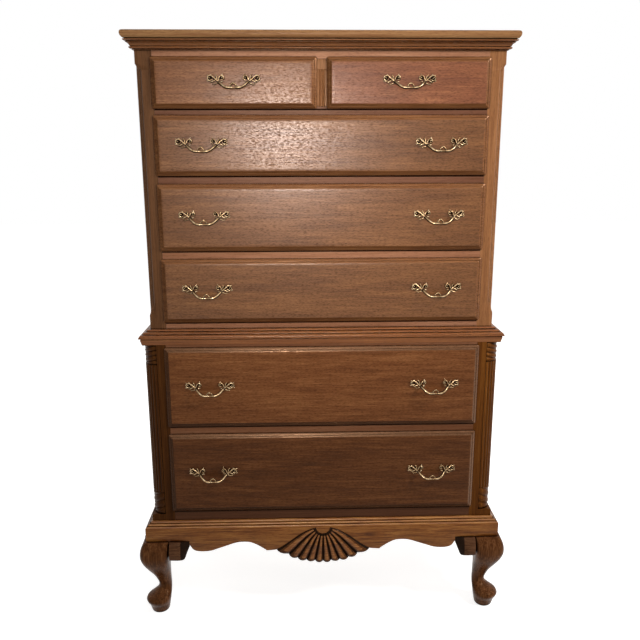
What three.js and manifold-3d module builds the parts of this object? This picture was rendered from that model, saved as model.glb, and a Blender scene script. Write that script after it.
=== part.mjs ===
// A mahogany highboy: an upper case of five drawers that stands on a lower case of two,
// on a base frame with a carved shell and four cabriole legs.
// Millimetres. +Z is up, the front faces -Y, and the floor is at Z zero.

import * as THREE from 'three';
import { mergeVertices } from 'three/addons/utils/BufferGeometryUtils.js';
import Module from 'manifold-3d';

const wasm = await Module();
wasm.setup();

// Fits
const glueGap = 0.3; // glued and screwed pieces
const lipGap = 0.3; // closed drawer lip to the case front
const runClear = 0.3; // drawer on its runners
const sideClear = 3; // drawer box to its guides, each side
const plugClear = 1.5; // rebated back of a drawer front inside its opening
const boltClear = 0.9; // pull bolt in its drilled hole
const cutOver = 2; // overrun of cutters, and of pieces that are joined into one

// Cases, seen from the front
const lowerWidth = 962;
const lowerDepth = 460;
const caseStep = 21; // upper case behind the lower one, at the front and each side
const baseOverhang = 19; // base frame beyond the lower case, at the front and each side
const postReveal = 37; // upper corner post beside a wide drawer
const sideThickness = 18;
const backThickness = 6;
const postDepth = 44; // front posts and rails, front to back

// Heights, from the floor up
const legHeight = 228; // floor to the line where the base frame sits on the legs
const baseRailHeight = 57;
const lowerBottomReveal = 29;
const sixthDrawerHeight = 231;
const lowerRailReveal = 21.5;
const fifthDrawerHeight = 224.5;
const lowerTopReveal = 25.5;
const upperBottomReveal = 38.5;
const fourthDrawerHeight = 170;
const thirdRailReveal = 21;
const thirdDrawerHeight = 172;
const secondRailReveal = 20.5;
const secondDrawerHeight = 149;
const firstRailReveal = 15.3;
const firstDrawerHeight = 123.2;
const friezeReveal = 41;

// Drawers
const dividerReveal = 25; // between the two small drawers
const lipOverlap = 5;
const lipThickness = 9;
const plugThickness = 11;
const edgeWidth = 9.5; // moulded edge of a front
const edgeStep = 1.2; // fillet between the moulded edge and the field
const edgeFlat = 3; // square part of the lip beside the case
const boxSide = 12;
const boxBottom = 6;
const boxBottomRise = 8;
const boxTopDrop = 16; // drawer sides below the top of their opening
const boxRearRoom = 16; // drawer back to the back of the case

// Web frames
const runnerWidth = 62;
const runnerThickness = 20;
const dustPanel = 4;
const guideHeight = 14;

// Top board and cornice
const topBoardThickness = 18;
const topBoardOverhang = 27.5;
const crownHeight = 25.5;
const crownReach = 22;

// Waist moulding
const waistRise = 21.5; // above the top of the lower case
const waistDrop = 19; // cove below the top of the lower case
const waistReach = 28.5; // nose beyond the upper case
const waistNose = 3.5;

// Upper corner posts: a reeded chamfer that ends in a lamb's tongue at each end
const chamferWidth = 15.5;
const chamferReeds = 3;
const reedDepth = 1.8;
const bottomTongueStart = 58; // plain post below the lower tongue
const bottomTongue = 44;
const topTongueStart = 58; // plain post above the upper tongue
const topTongue = 19;
const dividerReeds = 2;
const dividerStop = 24; // plain top of the drawer divider

// Quarter columns of the lower case
const columnRadius = 36;
const columnQuirk = 1.2; // groove beside the column
const columnPlinth = 19;
const columnBase = 66;
const columnCapital = 54;
const columnReeds = 4;
const columnReedDepth = 2.2;
const ropeDepth = 3;
const capitalPitch = 13.5;
const basePitch = 22;

// Base frame
const apronThickness = 22;
const apronDrop = 33; // lobes of the aprons below the knee line
const baseMouldHeight = 8;
const baseMouldReach = 17.5;
const baseBeads = 3;
const blockLength = 56; // knee block, along the apron
const blockHeight = 51;
const rearRailDrop = 20;

// Shell of the front apron
const shellLobes = 10;
const shellHubRadius = 20;
const shellHubFall = 19; // hub centre below the top of the base frame
const shellHeight = 108.5; // hub centre to the lowest lobe
const shellRelief = 8;
const shellSweep = THREE.MathUtils.degToRad(125.6);

// Cabriole legs
const kneeReach = 20; // knee beyond the base frame, each way
const postInside = 66; // inner face of the leg's post, from the corner of the base frame
const stumpSize = 44; // post that rises behind the aprons

// Pulls
const pullBoltSpacing = 76.2;
const pullHalfWidth = 64;
const pullHalfHeight = 18;
const pullReach = 26; // front of the bail beyond the drawer front
const pullInset = 120; // wide drawers: pull centre from the end of the front
const bailRadius = 2.6;
const leafThickness = 4.5;
const boltRadius = 2.3;
const boltHeadRadius = 5;
const boltHeadHeight = 2.6;
const knotRadius = 5.5;

// Facets
const reedSteps = 4; // of a reed or a lobe
const columnSteps = 3; // of a column's reed, and of one turn of its rope
const legSides = 16;
const bailSteps = 12;
const bailSides = 6;
const boltSides = 6;
const holeSides = 8; // drilled holes and bolt heads

// Faces that follow from the sizes
const lowerHalf = lowerWidth / 2;
const upperHalf = lowerHalf - caseStep;
const baseHalf = lowerHalf + baseOverhang;
const backY = (lowerDepth + baseOverhang) / 2;
const baseFrontY = -backY;
const lowerFrontY = baseFrontY + baseOverhang;
const upperFrontY = lowerFrontY + caseStep;
const drawerHalf = upperHalf - postReveal; // a wide drawer, across its lips
const openingHalf = drawerHalf - lipOverlap;
const dividerHalf = dividerReveal / 2 + lipOverlap;
const baseTop = legHeight + baseRailHeight;
const shellHubZ = baseTop - shellHubFall;
const legBlank = kneeReach + postInside; // square stock of a leg
const blockEnd = postInside + blockLength; // far end of a knee block, from the corner
const frontThickness = lipThickness + plugThickness;
const pullOffset = drawerHalf - pullInset;
const boltHalf = pullBoltSpacing / 2;

// The openings and rails of one case, from its bottom up: [reveal of the rail below, front height]
function stack(bottom, rows, topReveal) {
  const drawers = [];
  const rails = [];
  let z = bottom;
  let railBottom = bottom + glueGap;
  for (const [reveal, height] of rows) {
    z += reveal;
    rails.push([railBottom, z + lipOverlap]);
    drawers.push([z, z + height]);
    z += height;
    railBottom = z - lipOverlap;
  }
  z += topReveal;
  rails.push([railBottom, z - glueGap]);
  return { drawers, rails, top: z };
}

const lower = stack(baseTop, [
  [lowerBottomReveal, sixthDrawerHeight],
  [lowerRailReveal, fifthDrawerHeight],
], lowerTopReveal);
const upper = stack(lower.top, [
  [upperBottomReveal, fourthDrawerHeight],
  [thirdRailReveal, thirdDrawerHeight],
  [secondRailReveal, secondDrawerHeight],
  [firstRailReveal, firstDrawerHeight],
], friezeReveal);

// Outlines, each as shares of the sizes in its comment
const noseShares = [[0.34, 0], [0.12, 0.1], [0.03, 0.25], [0, 0.47], [0.06, 0.72], [0.2, 0.92],
  [0.3, 1]]; // inset and fall, by the board's thickness
const crownShares = [[0, 0], [1, 0], [1, 0.12], [0.9, 0.13], [0.89, 0.17], [0.72, 0.27],
  [0.55, 0.42], [0.42, 0.62], [0.36, 0.68], [0.41, 0.74], [0.42, 0.84], [0.35, 0.93], [0.2, 1],
  [0, 1]]; // reach and fall, by the crown's
const waistSlopeShares = [[0.06, 1], [0.14, 0.96], [0.26, 0.82], [0.3, 0.72], [0.42, 0.7],
  [0.56, 0.56], [0.6, 0.46], [0.72, 0.42], [0.9, 0.26]]; // reach and rise, by the waist's
const waistCoveShares = [[0.5, 0.05], [0.42, 0.2], [0.36, 0.5], [0.34, 0.8], [0.25, 1]];
const beadShares = [[0, 0], [0.06, 0.55], [0.34, 0.92]]; // in and up, by one bead's size
const tongueShares = [[0, 0], [0.35, 0.52], [0.7, 0.89], [1, 1]]; // along a tongue, and depth
const edgeCurveShares = [[0, 0], [0.12, 0.42], [0.4, 0.78], [0.72, 0.95], [1, 1]];
const apronArchShares = [[0.012, 0.485], [0.052, 0.85], [0.139, 0.985], [0.246, 0.924],
  [0.329, 0.727], [0.437, 0.455], [0.536, 0.212], [0.615, 0.136], [0.702, 0.18], [0.774, 0.394],
  [0.841, 0.697], [0.885, 0.924], [0.901, 1], [1, 0.94]]; // block to shell, and drop
const sideArchShares = [[0.02, 0.485], [0.08, 0.85], [0.2, 0.985], [0.36, 0.88], [0.55, 0.5],
  [0.75, 0.2], [1, 0.1]]; // block to middle, and drop
const shellReachShares = [[0, 1.4], [0.157, 1.225], [0.449, 1.11], [0.734, 1.01], [1, 1]];
const shellGrooveShare = 0.1; // relief left in the grooves
const shellSpreadShare = 0.38; // extra spread of the lobes at the hub
const shellSectionShares = [[0, 0.12], [0.1, 0.55], [0.3, 0.75], [0.42, 1], [0.55, 0.8],
  [0.75, 0.9], [0.93, 1], [1, 0.6]]; // along a lobe, and relief
const shellHalfWidth = shellHeight * shellReachShares[0][1] * Math.sin(shellSweep / 2);
const legShares = [[0, 0.26, 0.8, 2], [0.013, 0.235, 0.822, 2], [0.04, 0.214, 0.842, 2],
  [0.092, 0.172, 0.866, 2], [0.136, 0.11, 0.889, 2], [0.171, 0.085, 0.903, 2],
  [0.202, 0.125, 0.91, 2], [0.232, 0.26, 0.911, 2], [0.263, 0.388, 0.91, 2],
  [0.294, 0.464, 0.909, 2], [0.342, 0.482, 0.909, 2.1], [0.404, 0.44, 0.906, 2.3],
  [0.487, 0.35, 0.909, 2.5], [0.588, 0.2, 0.916, 2.8], [0.689, 0.07, 0.934, 3.6],
  [0.772, 0.007, 0.963, 4.3], [0.833, 0, 0.988, 5], [0.899, 0.03, 1, 5.8], [0.947, 0.08, 1, 6.4],
  [1, 0.15, 1, 7]]; // height, outer face, inner face, squareness
const blockShares = [[0, 1, 0.94], [0.35, 1, 0.96], [0.55, 0.95, 0.98], [0.73, 0.8, 1],
  [0.86, 0.42, 0.66], [1, 0.03, 0.3]]; // along, swell, drop
const blockFaceShares = [[0, 0.33], [0.17, 0.64], [0.37, 0.86], [0.62, 1], [0.85, 0.98],
  [1, 0.9]]; // fall, swell
const bailShares = [[0.97, -0.17, 0.3], [0.9, -0.42, 0.04], [0.72, -0.72, -0.38],
  [0.46, -0.88, -0.7], [0, -0.9, -0.76]]; // bolt half spacing, reach, half height
const bailSwellShares = [1.2, 1.15, 1.05, 0.95, 0.8];
const leafShares = [[0.375, 0.333], [0.367, 0.61], [0.42, 0.83], [0.5, 0.78], [0.547, 0.556],
  [0.594, 0.944], [0.64, 0.61], [0.75, 0.97], [0.81, 0.667], [0.937, 1], [0.92, 0.61], [1, 0.278],
  [0.86, 0.333], [0.766, 0.11], [0.75, -0.11], [0.656, 0.056], [0.594, -0.22], [0.5, -0.056],
  [0.42, 0.083]]; // half width, half height
const knotShares = [1.1, 0.7, 1];
const boltRise = bailShares[0][2] * pullHalfHeight; // bolts above the middle of a pull

// The value of a table of [place, value] at a place between its first and last
function along(table, place) {
  const next = table.findIndex(([at], i) => i > 0 && at >= place);
  const [a, b] = [table[next - 1], table[next]];
  return THREE.MathUtils.mapLinear(place, a[0], b[0], a[1], b[1]);
}

// Turns every triangle round where a solid came out inside out
function facingOut(geometry) {
  const p = geometry.attributes.position;
  const index = Array.from(geometry.index.array);
  const corners = [new THREE.Vector3(), new THREE.Vector3(), new THREE.Vector3()];
  let volume = 0;
  for (let i = 0; i < index.length; i += 3) {
    corners.forEach((corner, k) => corner.fromBufferAttribute(p, index[i + k]));
    volume += corners[0].dot(corners[1].cross(corners[2]));
  }
  if (volume < 0) {
    geometry.setIndex(index.reverse());
  }
  return geometry;
}

// The triangles that close one end ring. A ring that isn't convex is cut up in the plane of the
// two given axes, and any other is a fan.
function endCap(ring, axes) {
  if (!axes) {
    return ring.slice(2).map((_, k) => [0, k + 1, k + 2]);
  }
  const flat = ring.map((point) => new THREE.Vector2(point[axes[0]], point[axes[1]]));
  const order = flat.map((_, k) => k);
  if (THREE.ShapeUtils.isClockWise(flat)) {
    const faces = THREE.ShapeUtils.triangulateShape([...flat].reverse(), []);
    return faces.map((face) => face.map((k) => order.length - 1 - k).reverse());
  }
  return THREE.ShapeUtils.triangulateShape(flat, []);
}

// A closed solid through rings of points, all with the same number of points
function loft(rings, axes) {
  const count = rings[0].length;
  const index = [];
  for (let i = 0; i < rings.length - 1; i += 1) {
    for (let j = 0; j < count; j += 1) {
      const a = i * count + j;
      const b = i * count + (j + 1) % count;
      index.push(a, b, b + count, a, b + count, a + count);
    }
  }
  const last = (rings.length - 1) * count;
  for (const [a, b, c] of endCap(rings[0], axes)) {
    index.push(c, b, a);
  }
  for (const [a, b, c] of endCap(rings.at(-1), axes)) {
    index.push(last + a, last + b, last + c);
  }
  const geometry = new THREE.BufferGeometry();
  geometry.setAttribute('position', new THREE.Float32BufferAttribute(rings.flat(2), 3));
  geometry.setIndex(index);
  return facingOut(geometry);
}

function box(x, y, z) {
  const geometry = new THREE.BoxGeometry(x[1] - x[0], y[1] - y[0], z[1] - z[0]);
  geometry.translate((x[0] + x[1]) / 2, (y[0] + y[1]) / 2, (z[0] + z[1]) / 2);
  return geometry;
}

// The same shape with its corners shared between faces
function welded(geometry) {
  const bare = geometry.clone();
  bare.deleteAttribute('normal');
  bare.deleteAttribute('uv');
  return mergeVertices(bare);
}

function solid(geometry) {
  const closed = welded(geometry);
  return new wasm.Manifold(new wasm.Mesh({
    numProp: 3,
    vertProperties: closed.attributes.position.array,
    triVerts: new Uint32Array(closed.index.array),
  }));
}

function surface(manifold) {
  const mesh = manifold.getMesh();
  const geometry = new THREE.BufferGeometry();
  geometry.setAttribute('position', new THREE.Float32BufferAttribute(mesh.vertProperties, 3));
  geometry.setIndex(Array.from(mesh.triVerts));
  return geometry;
}

function join(...geometries) {
  return surface(geometries.map(solid).reduce((sum, next) => sum.add(next)));
}

function cut(geometry, ...cutters) {
  return surface(cutters.map(solid).reduce((rest, next) => rest.subtract(next), solid(geometry)));
}

function common(a, b) {
  return surface(solid(a).intersect(solid(b)));
}

function mirror(geometry, x, y) {
  return facingOut(welded(geometry).scale(x, y, 1));
}

// A board with a shaped outline of [across, up] points, between two places front to back
function upright(outline, y) {
  const shape = new THREE.Shape(outline.map(([a, b]) => new THREE.Vector2(a, b)));
  const geometry = new THREE.ExtrudeGeometry(shape, { depth: y[1] - y[0], bevelEnabled: false });
  geometry.rotateX(Math.PI / 2);
  geometry.translate(0, y[1], 0);
  return geometry;
}

const part = new THREE.Group();

function add(name, geometry, finish) {
  const shaded = geometry.index ? geometry.toNonIndexed() : geometry.clone();
  shaded.computeVertexNormals();
  const mesh = new THREE.Mesh(shaded, new THREE.MeshStandardMaterial(finish));
  mesh.name = name;
  part.add(mesh);
}

const caseWood = { color: 0x7b5236, roughness: 0.42, metalness: 0 };
const frontWood = { color: 0x85593c, roughness: 0.38, metalness: 0 };
const baseWood = { color: 0x8a5a33, roughness: 0.4, metalness: 0 };
const legWood = { color: 0x6b4127, roughness: 0.38, metalness: 0 };
const blockWood = { color: 0x50352a, roughness: 0.38, metalness: 0 };
const innerWood = { color: 0xb28f64, roughness: 0.7, metalness: 0 };
const plywood = { color: 0x9c7a52, roughness: 0.75, metalness: 0 };
const brass = { color: 0xb08d55, roughness: 0.32, metalness: 1 };

// Top board: a slab with a full bullnose at the front and both ends
function topBoard() {
  const top = upper.top + topBoardThickness;
  const rings = noseShares.map(([inset, fall]) => {
    const half = upperHalf + topBoardOverhang - inset * topBoardThickness;
    const front = upperFrontY - topBoardOverhang + inset * topBoardThickness;
    const z = top - fall * topBoardThickness;
    return [[-half, front, z], [half, front, z], [half, backY, z], [-half, backY, z]];
  });
  return loft(rings);
}

// A moulding round the front and both sides of a case, mitred at the front corners and square at
// the back. Its profile is [out from the case, height].
function wrapMoulding(profile, half, frontY) {
  const stations = [[-1, 0], [-1, 1], [1, 1], [1, 0]];
  const rings = stations.map(([side, front]) => profile.map(([out, z]) => (
    [side * (half + out), front ? frontY - out : backY, z])));
  return loft(rings, [0, 2]);
}

function crownProfile() {
  const top = upper.top - glueGap;
  return crownShares.map(([reach, fall]) => (
    [glueGap + reach * (crownReach - glueGap), top - fall * crownHeight]));
}

function waistProfile() {
  const foot = caseStep + glueGap;
  const seat = lower.top + glueGap;
  const nose = lower.top - glueGap;
  const slope = waistSlopeShares.map(([reach, rise]) => (
    [reach * waistReach, nose + waistNose + rise * (waistRise - waistNose)]));
  const cove = waistCoveShares.map(([reach, drop]) => (
    [foot + reach * (waistReach - foot), nose - drop * waistDrop]));
  return [[glueGap, seat], [glueGap, slope[0][1]], ...slope, [waistReach, nose + waistNose],
    [waistReach, nose], ...cove, [foot, cove.at(-1)[1]], [foot, seat]];
}

// How deep a reeded face lies below its crest. Grooves part the reeds, and the two outer edges
// of the face stay full.
function grooveDip(place, reeds, depth) {
  const phase = place * reeds;
  if (phase < 0.5 || phase > reeds - 0.5) {
    return 0;
  }
  return depth * (1 - Math.abs(Math.sin(Math.PI * phase)));
}

// Corner post of the upper case, right side. Its section is square at both ends, and the reeded
// chamfer grows out of that corner through the tongues.
function cornerPost() {
  const steps = chamferReeds * reedSteps;
  const back = upperFrontY + postDepth;
  const section = (depth, z) => {
    const points = [[openingHalf, back, z], [openingHalf, upperFrontY, z]];
    for (let i = 0; i <= steps; i += 1) {
      const place = i / steps;
      const dip = grooveDip(place, chamferReeds, reedDepth) * Math.SQRT1_2;
      const square = [Math.max(1 - 2 * place, 0), Math.max(2 * place - 1, 0)];
      const inX = THREE.MathUtils.lerp(square[0], 1 - place, depth) * chamferWidth;
      const inY = THREE.MathUtils.lerp(square[1], place, depth) * chamferWidth;
      points.push([upperHalf - inX - dip * depth, upperFrontY + inY + dip * depth, z]);
    }
    points.push([upperHalf, back, z]);
    return points;
  };
  const bottom = lower.top + glueGap;
  const low = bottom + bottomTongueStart;
  const high = upper.top - topTongueStart;
  const levels = [
    [0, bottom],
    ...tongueShares.map(([rise, depth]) => [depth, low + rise * bottomTongue]),
    ...tongueShares.map(([rise, depth]) => [depth, high - rise * topTongue]).reverse(),
    [0, upper.top - glueGap],
  ];
  return loft(levels.map(([depth, z]) => section(depth, z)), [0, 1]);
}

// Divider between the two small drawers: two reeds on its face, below a plain square top
function divider() {
  const steps = dividerReeds * reedSteps;
  const [bottom, top] = [upper.drawers[3][0] + lipOverlap, upper.drawers[3][1] - lipOverlap];
  const back = upperFrontY + postDepth;
  const section = (depth, z) => {
    const points = [[dividerHalf, back, z], [-dividerHalf, back, z]];
    points.push([-dividerHalf, upperFrontY, z]);
    for (let i = 0; i <= steps; i += 1) {
      const x = (i / steps - 0.5) * (dividerReveal - 2 * lipOverlap);
      const wave = Math.abs(Math.cos(Math.PI * dividerReeds * i / steps));
      points.push([x, upperFrontY + depth * reedDepth * wave, z]);
    }
    points.push([dividerHalf, upperFrontY, z]);
    return points;
  };
  const stop = top - dividerStop;
  const levels = [[1, bottom + glueGap], [1, stop - reedDepth], [0, stop], [0, top - glueGap]];
  return loft(levels.map(([depth, z]) => section(depth, z)), [0, 1]);
}

// Side of the lower case with its front stile, and the notch that takes the quarter column
function lowerSide() {
  const inside = lowerHalf - sideThickness;
  const z = [baseTop, lower.top];
  const stile = box([openingHalf, lowerHalf], [lowerFrontY, lowerFrontY + postDepth], z);
  const panel = box([inside, lowerHalf], [lowerFrontY + cutOver, backY], z);
  const notch = columnRadius + columnQuirk;
  const bay = box(
    [lowerHalf - notch, lowerHalf + cutOver],
    [lowerFrontY - cutOver, lowerFrontY + notch],
    [baseTop + columnPlinth, lower.top - waistDrop],
  );
  return cut(join(stile, panel), bay);
}

// Quarter column: a reeded shaft between a rope-turned capital and base
function quarterColumn() {
  const steps = columnReeds * columnSteps;
  const centre = [lowerHalf - columnRadius, lowerFrontY + columnRadius];
  const ring = (z, dip) => {
    const points = [[centre[0], centre[1], z]];
    for (let i = 0; i <= steps; i += 1) {
      const place = i / steps;
      const radius = columnRadius - dip(place);
      const turn = (place - 1) * Math.PI / 2;
      const [x, y] = [Math.cos(turn), Math.sin(turn)];
      points.push([centre[0] + radius * x, centre[1] + radius * y, z]);
    }
    return points;
  };
  const reeds = (place) => grooveDip(place, columnReeds, columnReedDepth);
  const bottom = baseTop + columnPlinth + glueGap;
  const top = lower.top - waistDrop - glueGap;
  const rope = (from, length, pitch) => {
    const levels = Math.round(length / pitch) * columnSteps;
    const rings = [];
    for (let i = 0; i <= levels; i += 1) {
      const z = from + length * i / levels;
      const end = i === 0 || i === levels ? 1 : 0;
      rings.push(ring(z, (place) => {
        const wave = Math.abs(Math.sin(Math.PI * ((z - from) / pitch + place)));
        return Math.max(end, 1 - wave) * ropeDepth;
      }));
    }
    return rings;
  };
  const shaft = [bottom + columnBase + columnQuirk, top - columnCapital - columnQuirk];
  return loft([
    ...rope(bottom, columnBase, basePitch),
    ...shaft.map((z) => ring(z, reeds)),
    ...rope(top - columnCapital, columnCapital, capitalPitch),
  ], [0, 1]);
}

// Web frame with its show rail at the front: runners all round a thin dust panel, and guides on
// top that hold the drawers on their way. A frame for two small drawers has a middle runner.
function webFrame(rail, half, frontY, guides, middle) {
  const [bottom, top] = rail;
  const inside = half - sideThickness - glueGap;
  const show = openingHalf - glueGap;
  const start = frontY + postDepth + glueGap;
  const end = backY - backThickness - glueGap;
  const pieces = [
    box([-show, show], [frontY, start + cutOver], [bottom, top]),
    box([-inside, inside], [start, end], [top - runnerThickness, top]),
  ];
  const rim = (runnerThickness - dustPanel) / 2;
  const bays = middle
    ? [[-inside + runnerWidth, -runnerWidth / 2], [runnerWidth / 2, inside - runnerWidth]]
    : [[-inside + runnerWidth, inside - runnerWidth]];
  const cutters = [];
  for (const bay of bays) {
    const y = [start + runnerWidth / 2, end - runnerWidth];
    cutters.push(box(bay, y, [top - rim, top + cutOver]));
    cutters.push(box(bay, y, [top - runnerThickness - cutOver, top - runnerThickness + rim]));
  }
  const z = [top - cutOver, top + guideHeight];
  if (guides) {
    pieces.push(box([openingHalf, inside], [start, end], z));
    pieces.push(box([-inside, -openingHalf], [start, end], z));
  }
  const plate = cut(join(...pieces), ...cutters);
  return middle ? join(plate, box([-dividerHalf, dividerHalf], [start, end], z)) : plate;
}

// Upper outline of the base moulding, [in from the face, height], from the face to the case
function beadProfile() {
  const [width, height] = [baseMouldReach / baseBeads, baseMouldHeight / baseBeads];
  const start = baseTop - glueGap - baseMouldHeight;
  const points = [];
  for (let i = 0; i < baseBeads; i += 1) {
    for (const [inward, up] of beadShares) {
      points.push([(i + inward) * width, start + (i + up) * height]);
    }
  }
  points.push([baseMouldReach, baseTop - glueGap]);
  points.push([apronThickness, baseTop - glueGap]);
  return points;
}

function apronProfile(bottom) {
  return [[apronThickness, bottom], [0, bottom], ...beadProfile()];
}

// Lowest point of the shell, by its angle from straight down
function shellReach(turn) {
  const place = 1 - Math.min(Math.abs(turn) / (shellSweep / 2), 1);
  return shellHeight * along(shellReachShares, place);
}

// Front apron: mitred at both ends, scalloped below, with the shell carved in its middle
function frontApron() {
  const bottom = shellHubZ - shellHeight - cutOver;
  const run = loft([-1, 1].map((side) => apronProfile(bottom).map(([inward, z]) => (
    [side * (baseHalf - inward - glueGap), baseFrontY + inward, z]))), [1, 2]);
  const archStart = baseHalf - blockEnd - glueGap;
  const half = [
    [baseHalf + cutOver, baseTop + cutOver],
    [baseHalf + cutOver, legHeight + glueGap],
    [archStart, legHeight + glueGap],
    ...apronArchShares.map(([place, drop]) => (
      [THREE.MathUtils.lerp(archStart, shellHalfWidth, place), legHeight - drop * apronDrop])),
    [shellHalfWidth / 2, shellHubZ - shellHeight / 2],
  ];
  const outline = [...half, ...half.map(([x, z]) => [-x, z]).reverse()];
  const y = [baseFrontY - cutOver, baseFrontY + apronThickness + cutOver];
  return join(common(run, upright(outline, y)), shell());
}

// Shell: lobes that fan out below a plain half-round hub
function shell() {
  const steps = shellLobes * reedSteps;
  const back = baseFrontY + apronThickness;
  const rings = [];
  for (let i = 0; i <= steps; i += 1) {
    const turn = (i / steps - 0.5) * shellSweep;
    const crest = Math.abs(Math.sin(Math.PI * shellLobes * i / steps));
    const reach = shellReach(turn) - (1 - crest) * shellRelief / 2;
    const height = shellRelief * THREE.MathUtils.lerp(shellGrooveShare, 1, crest);
    const face = shellSectionShares.map(([place, relief]) => (
      [place, baseFrontY - glueGap - relief * height]));
    rings.push([...face, [1, back], [0, back]].map(([place, y]) => {
      const radius = THREE.MathUtils.lerp(shellHubRadius, reach, place);
      const spread = turn * (1 + shellSpreadShare * (1 - place) ** 2);
      return [radius * Math.sin(spread), y, shellHubZ - radius * Math.cos(spread)];
    }));
  }
  return loft(rings);
}

// Side apron, right side: mitred to the front apron, and square at the back
function sideApron() {
  const bottom = legHeight - apronDrop - cutOver;
  const profile = apronProfile(bottom);
  const run = loft([
    profile.map(([inward, z]) => [baseHalf - inward, baseFrontY + inward + glueGap, z]),
    profile.map(([inward, z]) => [baseHalf - inward, backY, z]),
  ], [0, 2]);
  const archStart = backY - blockEnd - glueGap;
  const half = [
    [backY + cutOver, baseTop + cutOver],
    [backY + cutOver, legHeight + glueGap],
    [archStart, legHeight + glueGap],
    ...sideArchShares.map(([place, drop]) => (
      [archStart * (1 - place), legHeight - drop * apronDrop])),
  ];
  const outline = [...half, ...half.slice(0, -1).map(([y, z]) => [-y, z]).reverse()];
  const board = upright(outline, [baseHalf - apronThickness - cutOver, baseHalf + cutOver]);
  return common(run, board.rotateZ(-Math.PI / 2));
}

function rearRail() {
  const [wide, narrow] = [baseHalf - apronThickness - glueGap, baseHalf - postInside - glueGap];
  const [top, knee, low] = [baseTop - glueGap, legHeight + glueGap, legHeight - rearRailDrop];
  const half = [[wide, top], [wide, knee], [narrow, knee], [narrow, low]];
  const outline = [...half, ...half.map(([x, z]) => [-x, z]).reverse()];
  return upright(outline, [backY - apronThickness, backY]);
}

// Cabriole leg of the front right corner, with the post that rises behind the aprons. Its section
// runs from a round pad through a round ankle to a square knee.
function cabrioleLeg() {
  const rings = legShares.map(([height, outer, inner, squareness]) => {
    const out = kneeReach - outer * legBlank;
    const inn = kneeReach - inner * legBlank;
    const [middle, half] = [(out + inn) / 2, (out - inn) / 2];
    return Array.from({ length: legSides }, (_, i) => {
      const turn = 2 * Math.PI * i / legSides;
      const [c, s] = [Math.cos(turn), Math.sin(turn)];
      const size = (Math.abs(c) ** squareness + Math.abs(s) ** squareness) ** (-1 / squareness);
      const [x, y] = [middle + half * size * c, middle + half * size * s];
      return [baseHalf + x, baseFrontY - y, height * legHeight];
    });
  });
  const face = apronThickness + glueGap;
  const stump = box(
    [baseHalf - face - stumpSize, baseHalf - face],
    [baseFrontY + face, baseFrontY + face + stumpSize],
    [legHeight - cutOver, baseTop - glueGap],
  );
  return join(loft(rings), stump);
}

// Knee block beside a leg. The place function turns [along from the corner, in from the face,
// height] into a point.
function kneeBlock(start, place) {
  const length = blockEnd - start;
  const rings = blockShares.map(([reach, swell, drop]) => {
    const height = drop * blockHeight;
    const faces = blockFaceShares.map(([fall, bulge]) => (
      place(start + reach * length, -swell * bulge * kneeReach, legHeight - fall * height)));
    const back = [legHeight - height, legHeight].map((z) => (
      place(start + reach * length, apronThickness, z)));
    return [...faces, ...back];
  });
  return loft(rings);
}

const frontBlock = kneeBlock(postInside + glueGap, (far, inward, z) => (
  [baseHalf - far, baseFrontY + inward, z]));
const sideBlockAt = (start) => kneeBlock(start, (far, inward, z) => (
  [baseHalf - inward, baseFrontY + far, z]));

// Drawer front: a rebated back that fills its opening, and a lip with a moulded edge that laps
// over the case. Drilled for the bolts of its pulls.
function drawerFront({ x, z, caseY, pulls }) {
  const lipBack = caseY - lipGap;
  const flat = lipBack - edgeFlat;
  const swell = lipThickness - edgeFlat - edgeStep;
  const ring = (inset, y) => {
    const [x0, x1, z0, z1] = [x[0] + inset, x[1] - inset, z[0] + inset, z[1] - inset];
    return [[x0, y, z0], [x1, y, z0], [x1, y, z1], [x0, y, z1]];
  };
  const plug = lipOverlap + plugClear;
  const rings = [
    ring(plug, lipBack + plugThickness),
    ring(plug, lipBack),
    ring(0, lipBack),
    ...edgeCurveShares.map(([inward, out]) => ring(inward * edgeWidth, flat - out * swell)),
    ring(edgeWidth, lipBack - lipThickness),
  ];
  const radius = boltRadius + boltClear;
  const middle = lipBack + (plugThickness - lipThickness) / 2;
  const length = frontThickness + 2 * cutOver;
  const holes = pulls.flatMap((centre) => [-boltHalf, boltHalf].map((side) => {
    const hole = new THREE.CylinderGeometry(radius, radius, length, holeSides);
    return hole.translate(centre + side, middle, (z[0] + z[1]) / 2 + boltRise);
  }));
  return cut(loft(rings), ...holes);
}

// Drawer box: two sides, a back and a bottom raised between them
function drawerBox({ x, z, caseY }) {
  const front = caseY - lipGap + plugThickness + glueGap;
  const back = backY - backThickness - boxRearRoom;
  const bottom = z[0] + lipOverlap + runClear;
  const top = z[1] - lipOverlap - boxTopDrop;
  const wide = [x[0] + lipOverlap + sideClear, x[1] - lipOverlap - sideClear];
  const narrow = [wide[0] + boxSide, wide[1] - boxSide];
  const floor = bottom + boxBottomRise;
  return cut(
    box(wide, [front, back], [bottom, top]),
    box(narrow, [front - cutOver, back - boxSide], [floor + boxBottom, top + cutOver]),
    box(narrow, [front - cutOver, back - boxSide], [bottom - cutOver, floor]),
  );
}

// Bolt of a pull, and its head inside the drawer
function bolt(side) {
  const [start, seat] = [-leafThickness / 2, frontThickness + glueGap];
  const length = seat - start + boltHeadHeight / 2;
  const shank = new THREE.CylinderGeometry(boltRadius, boltRadius, length, boltSides);
  shank.translate(side * boltHalf, start + length / 2, boltRise);
  const head = new THREE.CylinderGeometry(
    boltHeadRadius,
    boltHeadRadius,
    boltHeadHeight,
    holeSides,
  );
  head.translate(side * boltHalf, seat + boltHeadHeight / 2, boltRise);
  return [shank, head];
}

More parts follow.
